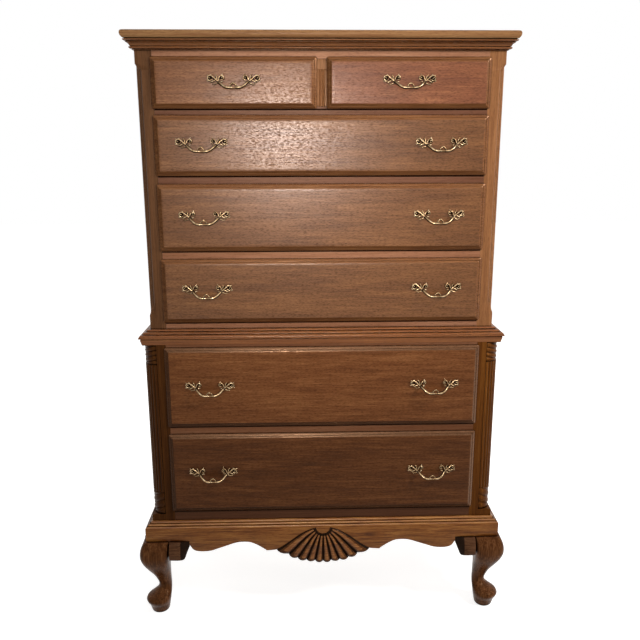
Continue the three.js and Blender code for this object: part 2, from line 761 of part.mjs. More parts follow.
// Pull: a cast bail that runs into a spray of leaves at each end, with its two bolts. It lies
// against the face at Y zero.
function pull() {
  const half = bailShares.map(([x, y, z]) => (
    new THREE.Vector3(x * boltHalf, y * pullReach, z * pullHalfHeight)));
  const path = [...half, ...half.slice(0, -1).reverse().map((p) => p.clone().setX(-p.x))];
  const curve = new THREE.CatmullRomCurve3(path);
  const frames = curve.computeFrenetFrames(bailSteps, false);
  const swells = bailSwellShares.map((swell, i) => [i / (bailSwellShares.length - 1), swell]);
  const bail = loft(Array.from({ length: bailSteps + 1 }, (_, i) => {
    const centre = curve.getPointAt(i / bailSteps);
    const radius = bailRadius * along(swells, 1 - Math.abs(2 * i / bailSteps - 1));
    return Array.from({ length: bailSides }, (__, k) => {
      const turn = 2 * Math.PI * k / bailSides;
      const point = centre.clone();
      point.addScaledVector(frames.normals[i], radius * Math.cos(turn));
      point.addScaledVector(frames.binormals[i], radius * Math.sin(turn));
      return point.toArray();
    });
  }));
  const knot = new THREE.IcosahedronGeometry(knotRadius, 0);
  knot.scale(...knotShares);
  knot.translate(0, half.at(-1).y, half.at(-1).z + knotRadius / 2);
  const pieces = [bail, knot];
  for (const side of [-1, 1]) {
    const outline = leafShares.map(([x, z]) => [side * x * pullHalfWidth, z * pullHalfHeight]);
    pieces.push(upright(outline, [-glueGap - leafThickness, -glueGap]), ...bolt(side));
  }
  return join(...pieces);
}

const sides = [['left', -1], ['right', 1]];

// Lower case and base frame
add('front_apron', frontApron(), baseWood);
add('rear_rail', rearRail(), baseWood);
const leg = cabrioleLeg();
for (const [sideName, x] of sides) {
  add(`side_apron_${sideName}`, mirror(sideApron(), x, 1), baseWood);
  add(`front_leg_${sideName}`, mirror(leg, x, 1), legWood);
  add(`rear_leg_${sideName}`, mirror(join(leg, sideBlockAt(postInside - cutOver)), x, -1), legWood);
  add(`front_knee_block_${sideName}`, mirror(frontBlock, x, 1), blockWood);
  add(`side_knee_block_${sideName}`, mirror(sideBlockAt(postInside + glueGap), x, 1), blockWood);
  add(`lower_side_${sideName}`, mirror(lowerSide(), x, 1), caseWood);
  add(`quarter_column_${sideName}`, mirror(quarterColumn(), x, 1), caseWood);
}
lower.rails.forEach((rail, i) => {
  const guides = i < lower.drawers.length;
  const frame = webFrame(rail, lowerHalf, lowerFrontY, guides, false);
  add(`lower_web_frame_${i + 1}`, frame, caseWood);
});
const lowerInside = lowerHalf - sideThickness - glueGap;
add('lower_back', box(
  [-lowerInside, lowerInside],
  [backY - backThickness, backY],
  [baseTop, lower.top],
), plywood);
add('waist_moulding', wrapMoulding(waistProfile(), upperHalf, upperFrontY), caseWood);

// Upper case and cornice
for (const [sideName, x] of sides) {
  const panel = box(
    [upperHalf - sideThickness, upperHalf],
    [upperFrontY + postDepth + glueGap, backY],
    [lower.top + glueGap, upper.top - glueGap],
  );
  add(`upper_side_${sideName}`, mirror(panel, x, 1), caseWood);
  add(`upper_post_${sideName}`, mirror(cornerPost(), x, 1), caseWood);
}
upper.rails.forEach((rail, i) => {
  const guides = i < upper.drawers.length;
  const middle = i === upper.drawers.length - 1;
  const frame = webFrame(rail, upperHalf, upperFrontY, guides, middle);
  add(`upper_web_frame_${i + 1}`, frame, caseWood);
});
const upperInside = upperHalf - sideThickness - glueGap;
add('upper_back', box(
  [-upperInside, upperInside],
  [backY - backThickness, backY],
  [lower.top + glueGap, upper.top - glueGap],
), plywood);
add('drawer_divider', divider(), caseWood);
add('crown_moulding', wrapMoulding(crownProfile(), upperHalf, upperFrontY), caseWood);
add('top_board', topBoard(), caseWood);

// Drawers, numbered from the top left to the bottom
const wide = [-drawerHalf, drawerHalf];
const small = [dividerReveal / 2, drawerHalf];
const smallMiddle = (small[0] + small[1]) / 2;
const rows = [...upper.drawers].reverse();
const drawers = [
  { x: [-small[1], -small[0]], z: rows[0], caseY: upperFrontY, pulls: [-smallMiddle] },
  { x: small, z: rows[0], caseY: upperFrontY, pulls: [smallMiddle] },
  ...rows.slice(1).map((z) => (
    { x: wide, z, caseY: upperFrontY, pulls: [-pullOffset, pullOffset] })),
  ...[...lower.drawers].reverse().map((z) => (
    { x: wide, z, caseY: lowerFrontY, pulls: [-pullOffset, pullOffset] })),
];
const casting = pull();
drawers.forEach((drawer, i) => {
  const number = i + 1;
  add(`drawer_${number}_front`, drawerFront(drawer), frontWood);
  add(`drawer_${number}_box`, drawerBox(drawer), innerWood);
  const face = drawer.caseY - lipGap - lipThickness;
  const height = (drawer.z[0] + drawer.z[1]) / 2;
  drawer.pulls.forEach((centre, k) => {
    const name = drawer.pulls.length > 1 ? `drawer_${number}_pull_${sides[k][0]}`
      : `drawer_${number}_pull`;
    add(name, casting.clone().translate(centre, face, height), brass);
  });
});

export default part;
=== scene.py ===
# A mahogany highboy: an upper case of five drawers that stands on a lower case of two, on a base
# frame with a carved shell and four cabriole legs. Pieces are laid out in millimetres, with the
# front towards -Y and the floor at Z zero, and made in metres.

from math import atan2, cos, exp, hypot, pi, radians, sin, sqrt, tau

import bmesh
import bpy
from mathutils import Euler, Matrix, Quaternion, Vector


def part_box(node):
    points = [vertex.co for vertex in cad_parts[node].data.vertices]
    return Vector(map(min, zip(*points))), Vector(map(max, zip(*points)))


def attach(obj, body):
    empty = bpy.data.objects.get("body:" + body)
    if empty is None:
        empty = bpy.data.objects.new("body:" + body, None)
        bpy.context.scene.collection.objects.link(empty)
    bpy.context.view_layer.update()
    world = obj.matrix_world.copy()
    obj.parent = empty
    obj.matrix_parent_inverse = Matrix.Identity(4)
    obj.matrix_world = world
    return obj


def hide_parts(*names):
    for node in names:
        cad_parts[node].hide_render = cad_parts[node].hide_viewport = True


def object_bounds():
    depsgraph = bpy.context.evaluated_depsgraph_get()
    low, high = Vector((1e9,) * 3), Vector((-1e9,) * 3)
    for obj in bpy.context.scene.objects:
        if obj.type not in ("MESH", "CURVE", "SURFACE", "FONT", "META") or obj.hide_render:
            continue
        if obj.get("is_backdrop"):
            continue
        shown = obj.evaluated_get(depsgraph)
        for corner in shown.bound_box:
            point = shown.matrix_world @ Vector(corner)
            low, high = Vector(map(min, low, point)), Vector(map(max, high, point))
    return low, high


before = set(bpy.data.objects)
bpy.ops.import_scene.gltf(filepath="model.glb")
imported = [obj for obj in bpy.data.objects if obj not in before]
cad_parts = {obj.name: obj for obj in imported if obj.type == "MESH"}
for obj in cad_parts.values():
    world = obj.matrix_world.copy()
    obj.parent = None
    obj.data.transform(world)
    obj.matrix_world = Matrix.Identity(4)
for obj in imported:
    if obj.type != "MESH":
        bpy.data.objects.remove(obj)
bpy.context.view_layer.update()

MM = 0.001
DRAWERS = range(1, 8)
UPPER_DRAWERS = range(1, 6)


def span(node):
    """The extent of a CAD node in millimetres, as (low, high) on each axis."""
    low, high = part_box(node)
    return [(a / MM, b / MM) for a, b in zip(low, high)]


# Faces of the cases, read from the CAD
GLUE_GAP = 0.3  # between neighbouring parts; not read
UPPER_HALF = span("upper_side_right")[0][1]
LOWER_HALF = span("lower_side_right")[0][1]
BASE_HALF = span("side_apron_right")[0][1]
BACK = span("upper_back")[1][1]
BASE_FRONT = -BACK
LOWER_FRONT = span("lower_web_frame_1")[1][0]
UPPER_FRONT = span("upper_web_frame_1")[1][0]
BASE_TOP = span("lower_back")[2][0]
LOWER_TOP = span("lower_back")[2][1]
UPPER_TOP = span("upper_back")[2][1] + GLUE_GAP
LEG_TOP = span("front_knee_block_right")[2][1]
OPENING_HALF = span("upper_post_right")[0][0]
POST_DEPTH = span("upper_post_right")[1][1] - UPPER_FRONT

# Sizes of the mouldings, the reeded and turned work, and the carving
EASE = 0.6  # edge of a plain board
CASE_STEP = LOWER_HALF - UPPER_HALF
CROWN = (22, 25.5)  # reach, height
WAIST_REACH = 28.5
WAIST_RISE = 21.5
WAIST_DROP = 19
WAIST_NOSE = 3.5
TOP_OVERHANG = 27.5
CHAMFER = 15.5
CHAMFER_REEDS = 3
REED_DEPTH = 2.4
TONGUE_LOW = (58, 44)  # start above the post's foot, length
TONGUE_HIGH = (58, 19)  # start below the post's head, length
DIVIDER_HEAD = 24  # plain square top
COLUMN_RADIUS = 36
COLUMN_BASE = (66, 22)  # length, pitch of the rope
COLUMN_CAPITAL = (54, 13.5)
COLUMN_QUIRK = 1.2
COLUMN_REEDS = 6
COLUMN_REED_DEPTH = 2.6
ROPE_DEPTH = 4.5
ROPE_FULLNESS = 0.7  # less swells the strands more
ROPE_END = (3, 0.7)  # how far from its ends the rope closes, and to what share of its depth
LIP = 9  # thickness of a drawer front's lip
LIP_OVERLAP = 5
LIP_CORNERS = (4, 1.2, 16)  # radius at the outline, radius of the field, and how far in that is
PLUG_PLAY = 1.5  # between the rebated back of a front and its opening
EDGE_FLAT = 1.6  # height of the flat round a lip, behind its moulded edge
# Moulded edge of a drawer front: in from its outline, and up from the flat
EDGE = [(0, 0), (0.2, 0.9), (0.8, 1.7), (3.5, 3.5), (6.1, 4.7), (6.8, 4.3), (7.3, 4.4),
        (9.5, 5.95), (12, 6.9), (15, 7.3), (18, 7.4)]
FIELD_FROM = 6.9  # the edge's wood shows as far in as this height
SHADED_FOOT_FACING = -0.85  # Z of the normal, below which an edge faces down and is painted near black as shade
LIT_EDGE_FACING = 0.2  # Z or X of the normal, above which an edge gets lighter wood as painted light, and more gloss
RUBBED_AND_LIT_FROM = (0.0, -0.94, 0.34)  # where the hands and cloths that rub a pull come from, and the way its painted highlight faces
APRON_THICKNESS = 22
APRON_DROP = 33
APRON_FOOT = LEG_TOP + GLUE_GAP
LEDGE = (18, 16.5)  # reach, height of the stepped top of the base frame
LEDGE_BEADS = 3
BEAD = (0.68, 0.5, 1.36)  # width, drop of its foot and height of a bead, as shares of a step
LIT_BEAD_FACING = (0.3, 0.93)  # Z of the normal over the part of a bead painted lighter as highlight
PAD_LINES = ((42.5, 0.9, 1.3), (9.5, 0.7, 1.2))  # turned round a foot: height, depth, width
BLOCK_LENGTH = 56
BLOCK_HEIGHT = 51
BLOCK_END = 24  # length of the end painted nearly black: end grain and painted shade
POST_INSIDE = 66  # how far a leg's top reaches in behind the outer faces
STUMP = 44  # side of the square post over a leg, behind the aprons
KNEE_REACH = 20
SHELL_LOBES = 10
SHELL_HUB = 20
SHELL_HEIGHT = 108.5
SHELL_RELIEF = 8
SHELL_SWEEP = radians(125.6)
SHELL_CENTRE = BASE_TOP - 19
SHELL_FAN = 0.38  # how much wider the lobes fan at the hub than at their tips
LOBE_FULLNESS = 0.75  # less swells the lobes more
GROOVE_FLOOR = 0.04  # relief left at the bottom of a groove, as a share
GROOVE_BELOW = 0.46  # share of a lobe's rise below which its wood is a groove's, painted near black as shade
CREST_ABOVE = 0.8  # and above which it is a crest's, painted lighter as highlight
HUB_LINE = 0.07  # share of a lobe's length taken by the line of painted shade round the hub
TIP_FROM = 0.9  # share of a lobe's length at which its tip, painted darker as shade, starts
BOLT_HALF = 38.1  # half the distance between a pull's bolts
FLOOR_REACH = 12  # metres

# Outlines, as shares of those sizes
NOSE = [(0.34, 0), (0.12, 0.1), (0.03, 0.25), (0, 0.47), (0.06, 0.72), (0.2, 0.92), (0.3, 1)]
ARCH = [(0, 0.3), (0.012, 0.485), (0.052, 0.85), (0.139, 0.985), (0.246, 0.924), (0.329, 0.727),
        (0.437, 0.455), (0.536, 0.212), (0.615, 0.136), (0.702, 0.18), (0.774, 0.394),
        (0.841, 0.697), (0.885, 0.924), (0.901, 1), (1, 0.94)]
SIDE_ARCH = [(0, 0.3), (0.02, 0.485), (0.08, 0.85), (0.2, 0.985), (0.36, 0.88), (0.55, 0.5),
             (0.75, 0.2), (1, 0.1)]
SHELL_REACH = [(0, 1.4), (0.157, 1.225), (0.449, 1.11), (0.734, 1.01), (1, 1)]
SHELL_SECTION = [(0, 0.12), (0.1, 0.55), (0.3, 0.75), (0.42, 1), (0.55, 0.8), (0.75, 0.9),
                 (0.93, 1), (1, 0.6)]
LEG = [(0, 0.26, 0.8, 2), (0.013, 0.235, 0.822, 2), (0.04, 0.214, 0.842, 2),
       (0.092, 0.172, 0.866, 2), (0.136, 0.11, 0.889, 2), (0.171, 0.085, 0.903, 2),
       (0.202, 0.125, 0.91, 2), (0.232, 0.26, 0.911, 2), (0.263, 0.388, 0.91, 2),
       (0.294, 0.464, 0.909, 2), (0.342, 0.482, 0.909, 2.1), (0.404, 0.44, 0.906, 2.3),
       (0.487, 0.35, 0.909, 2.5), (0.588, 0.2, 0.916, 2.8), (0.689, 0.07, 0.934, 3.6),
       (0.772, 0.007, 0.963, 4.3), (0.833, 0, 0.988, 5), (0.899, 0.03, 1, 5.8),
       (0.947, 0.08, 1, 6.4), (1, 0.15, 1, 7)]  # height, outer face, inner face, squareness
BLOCK = [(0, 1, 0.94), (0.3, 0.99, 0.96), (0.5, 0.88, 0.98), (0.66, 0.66, 1), (0.76, 0.44, 0.94),
         (0.86, 0.24, 0.66), (1, 0.03, 0.3)]  # along, swell, drop
BLOCK_FACE = [(0, 0.33), (0.17, 0.64), (0.37, 0.86), (0.62, 1), (0.85, 0.98), (1, 0.9)]
TONGUE = [(0, 0), (0.35, 0.52), (0.7, 0.89), (1, 1)]


# Shapes

def smooth(points, steps):
    """A smooth curve through points of any dimension, with steps pieces between each two."""
    curve = []
    for i in range(len(points) - 1):
        near = [points[max(i - 1, 0)], points[i], points[i + 1], points[min(i + 2, len(points) - 1)]]
        for k in range(steps):
            t = k / steps
            curve.append(tuple(
                0.5 * (2 * b + (c - a) * t + (2 * a - 5 * b + 4 * c - d) * t ** 2
                       + (3 * b - a - 3 * c + d) * t ** 3)
                for a, b, c, d in zip(*near)))
    curve.append(tuple(points[-1]))
    return curve


def lerp(a, b, share):
    return a + (b - a) * share


def along(table, at):
    """The value at a place in a table of (place, value)."""
    for (a, low), (b, high) in zip(table, table[1:]):
        if at <= b:
            return lerp(low, high, (at - a) / (b - a))
    return table[-1][1]


def loft(rings):
    """A closed shell through rings of points."""
    count = len(rings[0])
    faces = [tuple(range(count)), tuple(range((len(rings) - 1) * count, len(rings) * count))]
    for i in range(len(rings) - 1):
        for j in range(count):
            a, b = i * count + j, i * count + (j + 1) % count
            faces.append((a, b, b + count, a + count))
    return [point for ring in rings for point in ring], faces


def mirrored(shells, x=1, y=1):
    """Closed shells with their X, Y or both times -1."""
    return [([(p[0] * x, p[1] * y, p[2]) for p in points], faces) for points, faces in shells]


def board(x, y, z):
    """A board with its edges eased, between two places on each axis."""
    def ring(inset, height):
        x0, x1, y0, y1 = x[0] + inset, x[1] - inset, y[0] + inset, y[1] - inset
        return [(x0 + EASE, y0, height), (x1 - EASE, y0, height), (x1, y0 + EASE, height),
                (x1, y1 - EASE, height), (x1 - EASE, y1, height), (x0 + EASE, y1, height),
                (x0, y1 - EASE, height), (x0, y0 + EASE, height)]
    return loft([ring(EASE, z[0]), ring(0, z[0] + EASE), ring(0, z[1] - EASE), ring(EASE, z[1])])


def surface(name, shells, sharp, *woods):
    """A mesh of closed shells in their finishes, smooth but for edges sharper than an angle."""
    whole = bmesh.new()
    for points, faces in shells:
        mesh = bpy.data.meshes.new(name)
        mesh.from_pydata([Vector(p) * MM for p in points], [], faces)
        shell = bmesh.new()
        shell.from_mesh(mesh)
        bmesh.ops.remove_doubles(shell, verts=shell.verts, dist=1e-6)
        bmesh.ops.recalc_face_normals(shell, faces=shell.faces)
        shell.to_mesh(mesh)
        shell.free()
        whole.from_mesh(mesh)
        bpy.data.meshes.remove(mesh)
    for face in whole.faces:
        face.smooth = True
    mesh = bpy.data.meshes.new(name)
    whole.to_mesh(mesh)
    whole.free()
    mesh.set_sharp_from_angle(angle=radians(sharp))
    for wood in woods:
        mesh.materials.append(finish[wood])
    return mesh


def place(mesh, node, body="carcass", name=None):
    """A made piece that stands for a CAD node and rides on its body."""
    made = bpy.data.objects.new(name or mesh.name, mesh)
    bpy.context.scene.collection.objects.link(made)
    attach(made, body)
    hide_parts(node)
    return made


# Finishes

LACQUER = "#f6d8bc"  # tint of the shine of old amber lacquer
DEEP_LACQUER = "#e8b88c"  # the same over deep stain
PAINTED_SHADE_TONE = "#0e0603"  # near black, painted as shade into inner corners and as a shadow line under each lip
BARE = ("#92704a", "#ac8960", "#bf9d74")  # hardwood without a finish, dark to light
SHADOW_LINE_BELOW = 1.5  # the painted shadow line under a lip, below the lip's foot
SHADOW_LINE_HALF = (1.4, 2.6)  # its half width, without and with its soft edge


def srgb(code):
    """A hex colour as linear red, green, blue and alpha."""
    parts = [int(code[i:i + 2], 16) / 255 for i in (1, 3, 5)]
    return [c / 12.92 if c <= 0.04045 else ((c + 0.055) / 1.055) ** 2.4 for c in parts] + [1]


def add(tree, kind, inputs=None, stops=(), **settings):
    """Adds a node. Each input takes a value, a socket, or a node, which gives its first output
    in use. The stops of a ramp are (place, colour)."""
    made = tree.nodes.new("ShaderNode" + kind)
    for key, value in settings.items():
        setattr(made, key, value)
    stops = list(stops)
    if stops:
        marks = made.color_ramp.elements
        for _ in stops[2:]:
            marks.new(0.5)
        for mark, (at, colour) in zip(marks, stops):
            mark.position = at
            mark.color = srgb(colour)
    for key, value in (inputs or {}).items():
        if isinstance(value, bpy.types.Node):
            value = next(socket for socket in value.outputs if socket.enabled)
        if isinstance(value, bpy.types.NodeSocket):
            tree.links.new(value, made.inputs[key])
        else:
            made.inputs[key].default_value = value
    return made


def blank(name):
    """A new material, and its node tree with nothing in it."""
    material = bpy.data.materials.new(name)
    material.use_nodes = True
    material.node_tree.nodes.clear()
    return material, material.node_tree


def grain_space(tree, grain, mitre=None):
    """Object space turned so that its first axis runs with the grain. A mitred moulding, given as
    (half width, front) in metres, has grain that turns with it at its front corners."""
    space = add(tree, "TexCoord").outputs["Object"]
    parts = add(tree, "SeparateXYZ", {"Vector": space}).outputs
    order = {"X": "XYZ", "Y": "YXZ", "Z": "ZXY"}[grain]
    turned = add(tree, "CombineXYZ", dict(zip("XYZ", (parts[a] for a in order))))
    if mitre is None:
        return turned
    half, front = mitre
    out_side = add(tree, "Math", {0: parts["X"]}, operation="ABSOLUTE")
    reach = add(tree, "Math", {0: out_side, 1: parts["Y"]}, operation="ADD")
    past = add(tree, "Math", {0: reach, 1: half + front}, operation="GREATER_THAN")
    swapped = add(tree, "CombineXYZ", {"X": parts["Y"], "Y": parts["X"], "Z": parts["Z"]})
    return add(tree, "Mix", {"Factor": past, "A": turned, "B": swapped}, data_type="VECTOR")


def stretched_noise(tree, space, length, width, detail, twist=0.0):
    """Noise drawn out along the grain, by the length and width of its features in millimetres."""
    scale = (1 / (length * MM), 1 / (width * MM), 1 / (width * MM))
    stretched = add(tree, "VectorMath", {0: space, 1: scale}, operation="MULTIPLY")
    return add(tree, "TexNoise", {"Vector": stretched, "Scale": 1.0, "Detail": detail,
                                  "Roughness": 0.6, "Distortion": twist})


def figured(tree, space, bands, streaks, share):
    """The figure of a board: broad soft bands, and fine streaks that weigh share of the whole."""
    return add(tree, "Mix", {"Factor": share, "A": stretched_noise(tree, space, *bands),
                             "B": stretched_noise(tree, space, *streaks)}, data_type="FLOAT")


def darkened_by_painted_shade(tree, colour, shine, share):
    """A colour, and the tint of its shine, darkened by a share of painted shade, which also dims the
    shine.
    """
    return [add(tree, "Mix", {"Factor": share, "A": unshaded, "B": srgb(PAINTED_SHADE_TONE)}, data_type="RGBA")
            for unshaded in (colour, shine)]


def paint_shade_in_hollows(tree, colour, shine, reach, share=0.94):
    """Paints shade into inner corners, as far as reach in millimetres, by how little open air is round
    them.
    """
    open_air = add(tree, "AmbientOcclusion", {"Distance": reach * MM}, samples=8).outputs["AO"]
    depth = add(tree, "MapRange", {"Value": open_air, "From Min": 0.5, "From Max": 0.86,
                                   "To Min": share, "To Max": 0.0})
    return darkened_by_painted_shade(tree, colour, shine, depth)


def wood_surface(tree, colour, shine, level, rough, pores, depth):
    """The shader of a wood: pores sunk by a depth in millimetres, and a mirror shine of a level
    and tint."""
    bump = add(tree, "Bump", {"Strength": 0.3, "Distance": depth * MM, "Height": pores}, invert=True)
    shader = add(tree, "BsdfPrincipled",
                 {"Base Color": colour, "Roughness": rough, "Normal": bump, "IOR": 1.5,
                  "Specular IOR Level": level, "Specular Tint": shine})
    add(tree, "OutputMaterial", {"Surface": shader})


def timber(name, grain, tones, bands, streaks, pores, pore_tone, pore_share, gloss, hollow=None,
           level=0.14, tint=LACQUER, pore_range=(0.52, 0.66), mitre=None):
    """A dressed and finished timber. Tones are dark, middle and light; bands, streaks and pores
    are the length and width of each in millimetres; gloss is the roughness of the finish; hollow
    is how far in millimetres painted shade darkens an inner corner; level and tint say how
    strongly and in what colour the finish mirrors; and pore_range is the part of the noise where
    pores open. Real pores are about 0.2 mm wide, and are drawn some seven times wider to show."""
    material, tree = blank(name)
    space = grain_space(tree, grain, mitre)
    figure = figured(tree, space, (*bands, 3, 0.6), (*streaks, 5), 0.55)
    plain = add(tree, "ValToRGB", {"Fac": figure}, zip((0.36, 0.5, 0.64), tones))
    open_pore = add(tree, "MapRange", {"Value": stretched_noise(tree, space, *pores, 3),
                                       "From Min": pore_range[0], "From Max": pore_range[1]})
    filled = add(tree, "Math", {0: open_pore, 1: pore_share}, operation="MULTIPLY")
    colour, shine = [add(tree, "Mix", {"Factor": filled, "A": wood, "B": srgb(pore)}, data_type="RGBA")
                     for wood, pore in ((plain, pore_tone), (srgb(tint), "#3a2418"))]
    # painted shade in inner corners
    if hollow:
        colour, shine = paint_shade_in_hollows(tree, colour, shine, hollow)
    rough = add(tree, "MapRange", {"Value": open_pore, "To Min": gloss, "To Max": gloss + 0.25})
    wood_surface(tree, colour, shine, level, rough, open_pore, 0.1)
    return material


def mahogany_front(number):
    """Veneered drawer front, mahogany in satin lacquer: level brown with long soft bands and
    short dark pores that break up a broad soft shine. The lowest front is the darkest, and the two
    of the lower case shine less."""
    tones = {1: ("#683c1b", "#7c4b26", "#926036"), 2: ("#66341a", "#7c4526", "#925936"),
             6: ("#5f3619", "#754524", "#8e5b34"), 7: ("#482710", "#5d3417", "#764826")}
    return timber(f"satin_mahogany_front_{number}", "X",
                  tones.get(number, ("#583213", "#6e431f", "#865730")),
                  (330, 26), (60, 3.0), (8, 1.7), "#2f1a10", 0.48, 0.28,
                  level=0.54 if number in UPPER_DRAWERS else 0.16, tint="#ffe9db",
                  pore_range=(0.46, 0.64))


def mahogany_lip(name, tones, level):
    """Moulded edge of a drawer front: solid mahogany darker than the veneer, polished smooth, with
    painted shade along its foot and in its quirk. Its darker wood is in part painted shade on its
    left and lower slopes; lighter copies with a higher level on the upper and right edges are
    painted light, and a near-black copy on its downward faces is painted shade."""
    return timber(name, "X", tones, (260, 14), (90, 3), (14, 1.5), "#2c170b", 0.3, 0.25,
                  hollow=5, level=level, tint="#f4bd92")


def mahogany_upright(name, tones, level=0.2, tint=LACQUER):
    """Posts, stiles, columns and sides: straight grain on end, under the same lacquer, with painted
    shade in their inner corners. Those on the left are darker as painted shade; those of the lower
    case are darker too."""
    return timber(name, "Z", tones, (420, 22), (140, 4), (18, 1.5), "#341c0d", 0.4, 0.34,
                  hollow=5, level=level, tint=tint)


def mahogany_moulding(name, tones):
    """Run mouldings: long straight grain that follows each length round its mitres, with a
    shine along every bead and painted shade in every quirk."""
    return timber(name, "X", tones, (420, 9), (150, 3), (16, 1.5), "#3a1f0f", 0.4, 0.27,
                  hollow=5, level=0.36, mitre=(UPPER_HALF * MM, UPPER_FRONT * MM))


def mahogany_top():
    """Top board: lighter mahogany in the same lacquer, a little golden."""
    return timber("mahogany_top_board", "X", ("#805433", "#976b43", "#aa7e52"),
                  (380, 24), (150, 4), (17, 1.6), "#4a2b16", 0.4, 0.32, level=0.25)


def stained_leg():
    """Legs: carved solid wood in a deeper stain, rubbed to a soft shine, with painted shade in their
    inner corners.
    """
    return timber("stained_leg_wood", "Z", ("#442611", "#673d21", "#8d5c38"),
                  (120, 12), (60, 3), (12, 1.4), "#2b160a", 0.4, 0.24,
                  hollow=9, level=0.13, tint=DEEP_LACQUER)


def stained_block():
    """Knee blocks: short lengths of wood that took the stain cooler than the legs, with painted shade in
    their inner corners.
    """
    return timber("stained_knee_block", "X", ("#452a1b", "#5e3c28", "#785137"),
                  (60, 9), (30, 2.5), (10, 1.4), "#24140d", 0.4, 0.24,
                  hollow=9, level=0.22, tint=DEEP_LACQUER)


def end_grain_and_painted_shade():
    """The last stretch of each knee block: near black, both as end grain that drank the stain and as
    painted shade on the block's end.
    """
    return timber("end_grain_and_painted_shade", "X", ("#120804", "#1c0e07", "#2a170d"),
                  (9, 9), (2.5, 2.5), (1.4, 1.4), "#0d0603", 0.4, 0.4, level=0.1)


def carved_hollow():
    """Bottoms of the shell's grooves and the line round its hub: the base frame's wood painted
    nearly black as shade, with fine grain."""
    return timber("painted_shade_carved_groove", "X", ("#140a04", "#201108", "#2e190b"),
                  (90, 9), (40, 2.5), (12, 1.4), "#0c0502", 0.4, 0.5, level=0.1)


def bare_board(name, grain):
    """Inner boards: planed pale hardwood with no finish, dry and dusty, with fine brown grain."""
    return timber(name, grain, BARE, (300, 18), (110, 3), (12, 1.3), "#7b5a38", 0.4, 0.72, level=0.25)


def pored(tree, colour, space, size, widest, tone):
    """A colour with dark pores in it, and how open they are: most where their noise is at or
    above widest."""
    open_pore = add(tree, "MapRange", {"Value": stretched_noise(tree, space, *size, 3),
                                       "From Min": 0.54, "From Max": widest, "To Max": 0.45})
    return add(tree, "Mix", {"Factor": open_pore, "A": colour, "B": srgb(tone)},
               data_type="RGBA"), open_pore


def plain_sawn_base(name, grain, tones=("#562a0d", "#8a4f20", "#b07338"), hollow=5, level=0.3):
    """Base frame: plain-sawn hardwood in a golden brown stain, with dark clouds where it drank
    more of it, broken streaks along the grain, and near-black painted shade in the carving and
    inner corners. Lighter tones and a higher level give the beads of the ledge and the crests of
    the shell as painted highlight; darker ones give the flanks of its lobes as painted shade."""
    material, tree = blank(name)
    space = grain_space(tree, grain)
    figure = figured(tree, space, (150, 19, 4, 1.2), (80, 2.8, 5, 0.4), 0.6)
    colour = add(tree, "ValToRGB", {"Fac": figure}, zip((0.36, 0.48, 0.61), tones))
    colour, open_pore = pored(tree, colour, space, (12, 1.5), 0.68, "#3a200f")
    # painted shade in inner corners and the carving
    colour, shine = paint_shade_in_hollows(tree, colour, srgb(LACQUER), hollow)
    wood_surface(tree, colour, shine, level, 0.28, open_pore, 0.15)
    return material


def framed_rail(name, seam, tones, foot):
    """Web frames: a mahogany show rail at the front, glued to bare runners behind, with painted
    shade in its inner corners and a painted shadow line along the foot of the lip that closes on it."""
    material, tree = blank(name)
    space = grain_space(tree, "X")
    figure = figured(tree, space, (380, 16, 3, 0.6), (120, 3.5, 5), 0.45)
    show, bare = [add(tree, "ValToRGB", {"Fac": figure}, zip((0.34, 0.5, 0.66), wood))
                  for wood in (tones, BARE)]
    spot = add(tree, "TexCoord").outputs["Object"]
    parts = add(tree, "SeparateXYZ", {"Vector": spot}).outputs
    behind = add(tree, "Math", {0: parts["Y"], 1: seam * MM}, operation="GREATER_THAN")
    colour = add(tree, "Mix", {"Factor": behind, "A": show, "B": bare}, data_type="RGBA")
    colour, open_pore = pored(tree, colour, space, (16, 1.5), 0.66, "#3a2114")
    # painted shade in inner corners
    colour, shine = paint_shade_in_hollows(tree, colour, srgb(LACQUER), 14, 0.98)
    # painted shadow line along the foot of the lip above
    away = add(tree, "Math", {0: parts["Z"], 1: (foot - SHADOW_LINE_BELOW) * MM}, operation="SUBTRACT")
    away = add(tree, "Math", {0: away}, operation="ABSOLUTE")
    full, faded = (width * MM for width in SHADOW_LINE_HALF)
    shadow_line = add(tree, "MapRange", {"Value": away, "From Min": full, "From Max": faded,
                                  "To Min": 0.92, "To Max": 0.0})
    colour, shine = darkened_by_painted_shade(tree, colour, shine, shadow_line)
    rough = add(tree, "MapRange", {"Value": behind, "To Min": 0.38, "To Max": 0.75})
    wood_surface(tree, colour, shine, 0.14, rough, open_pore, 0.15)
    return material


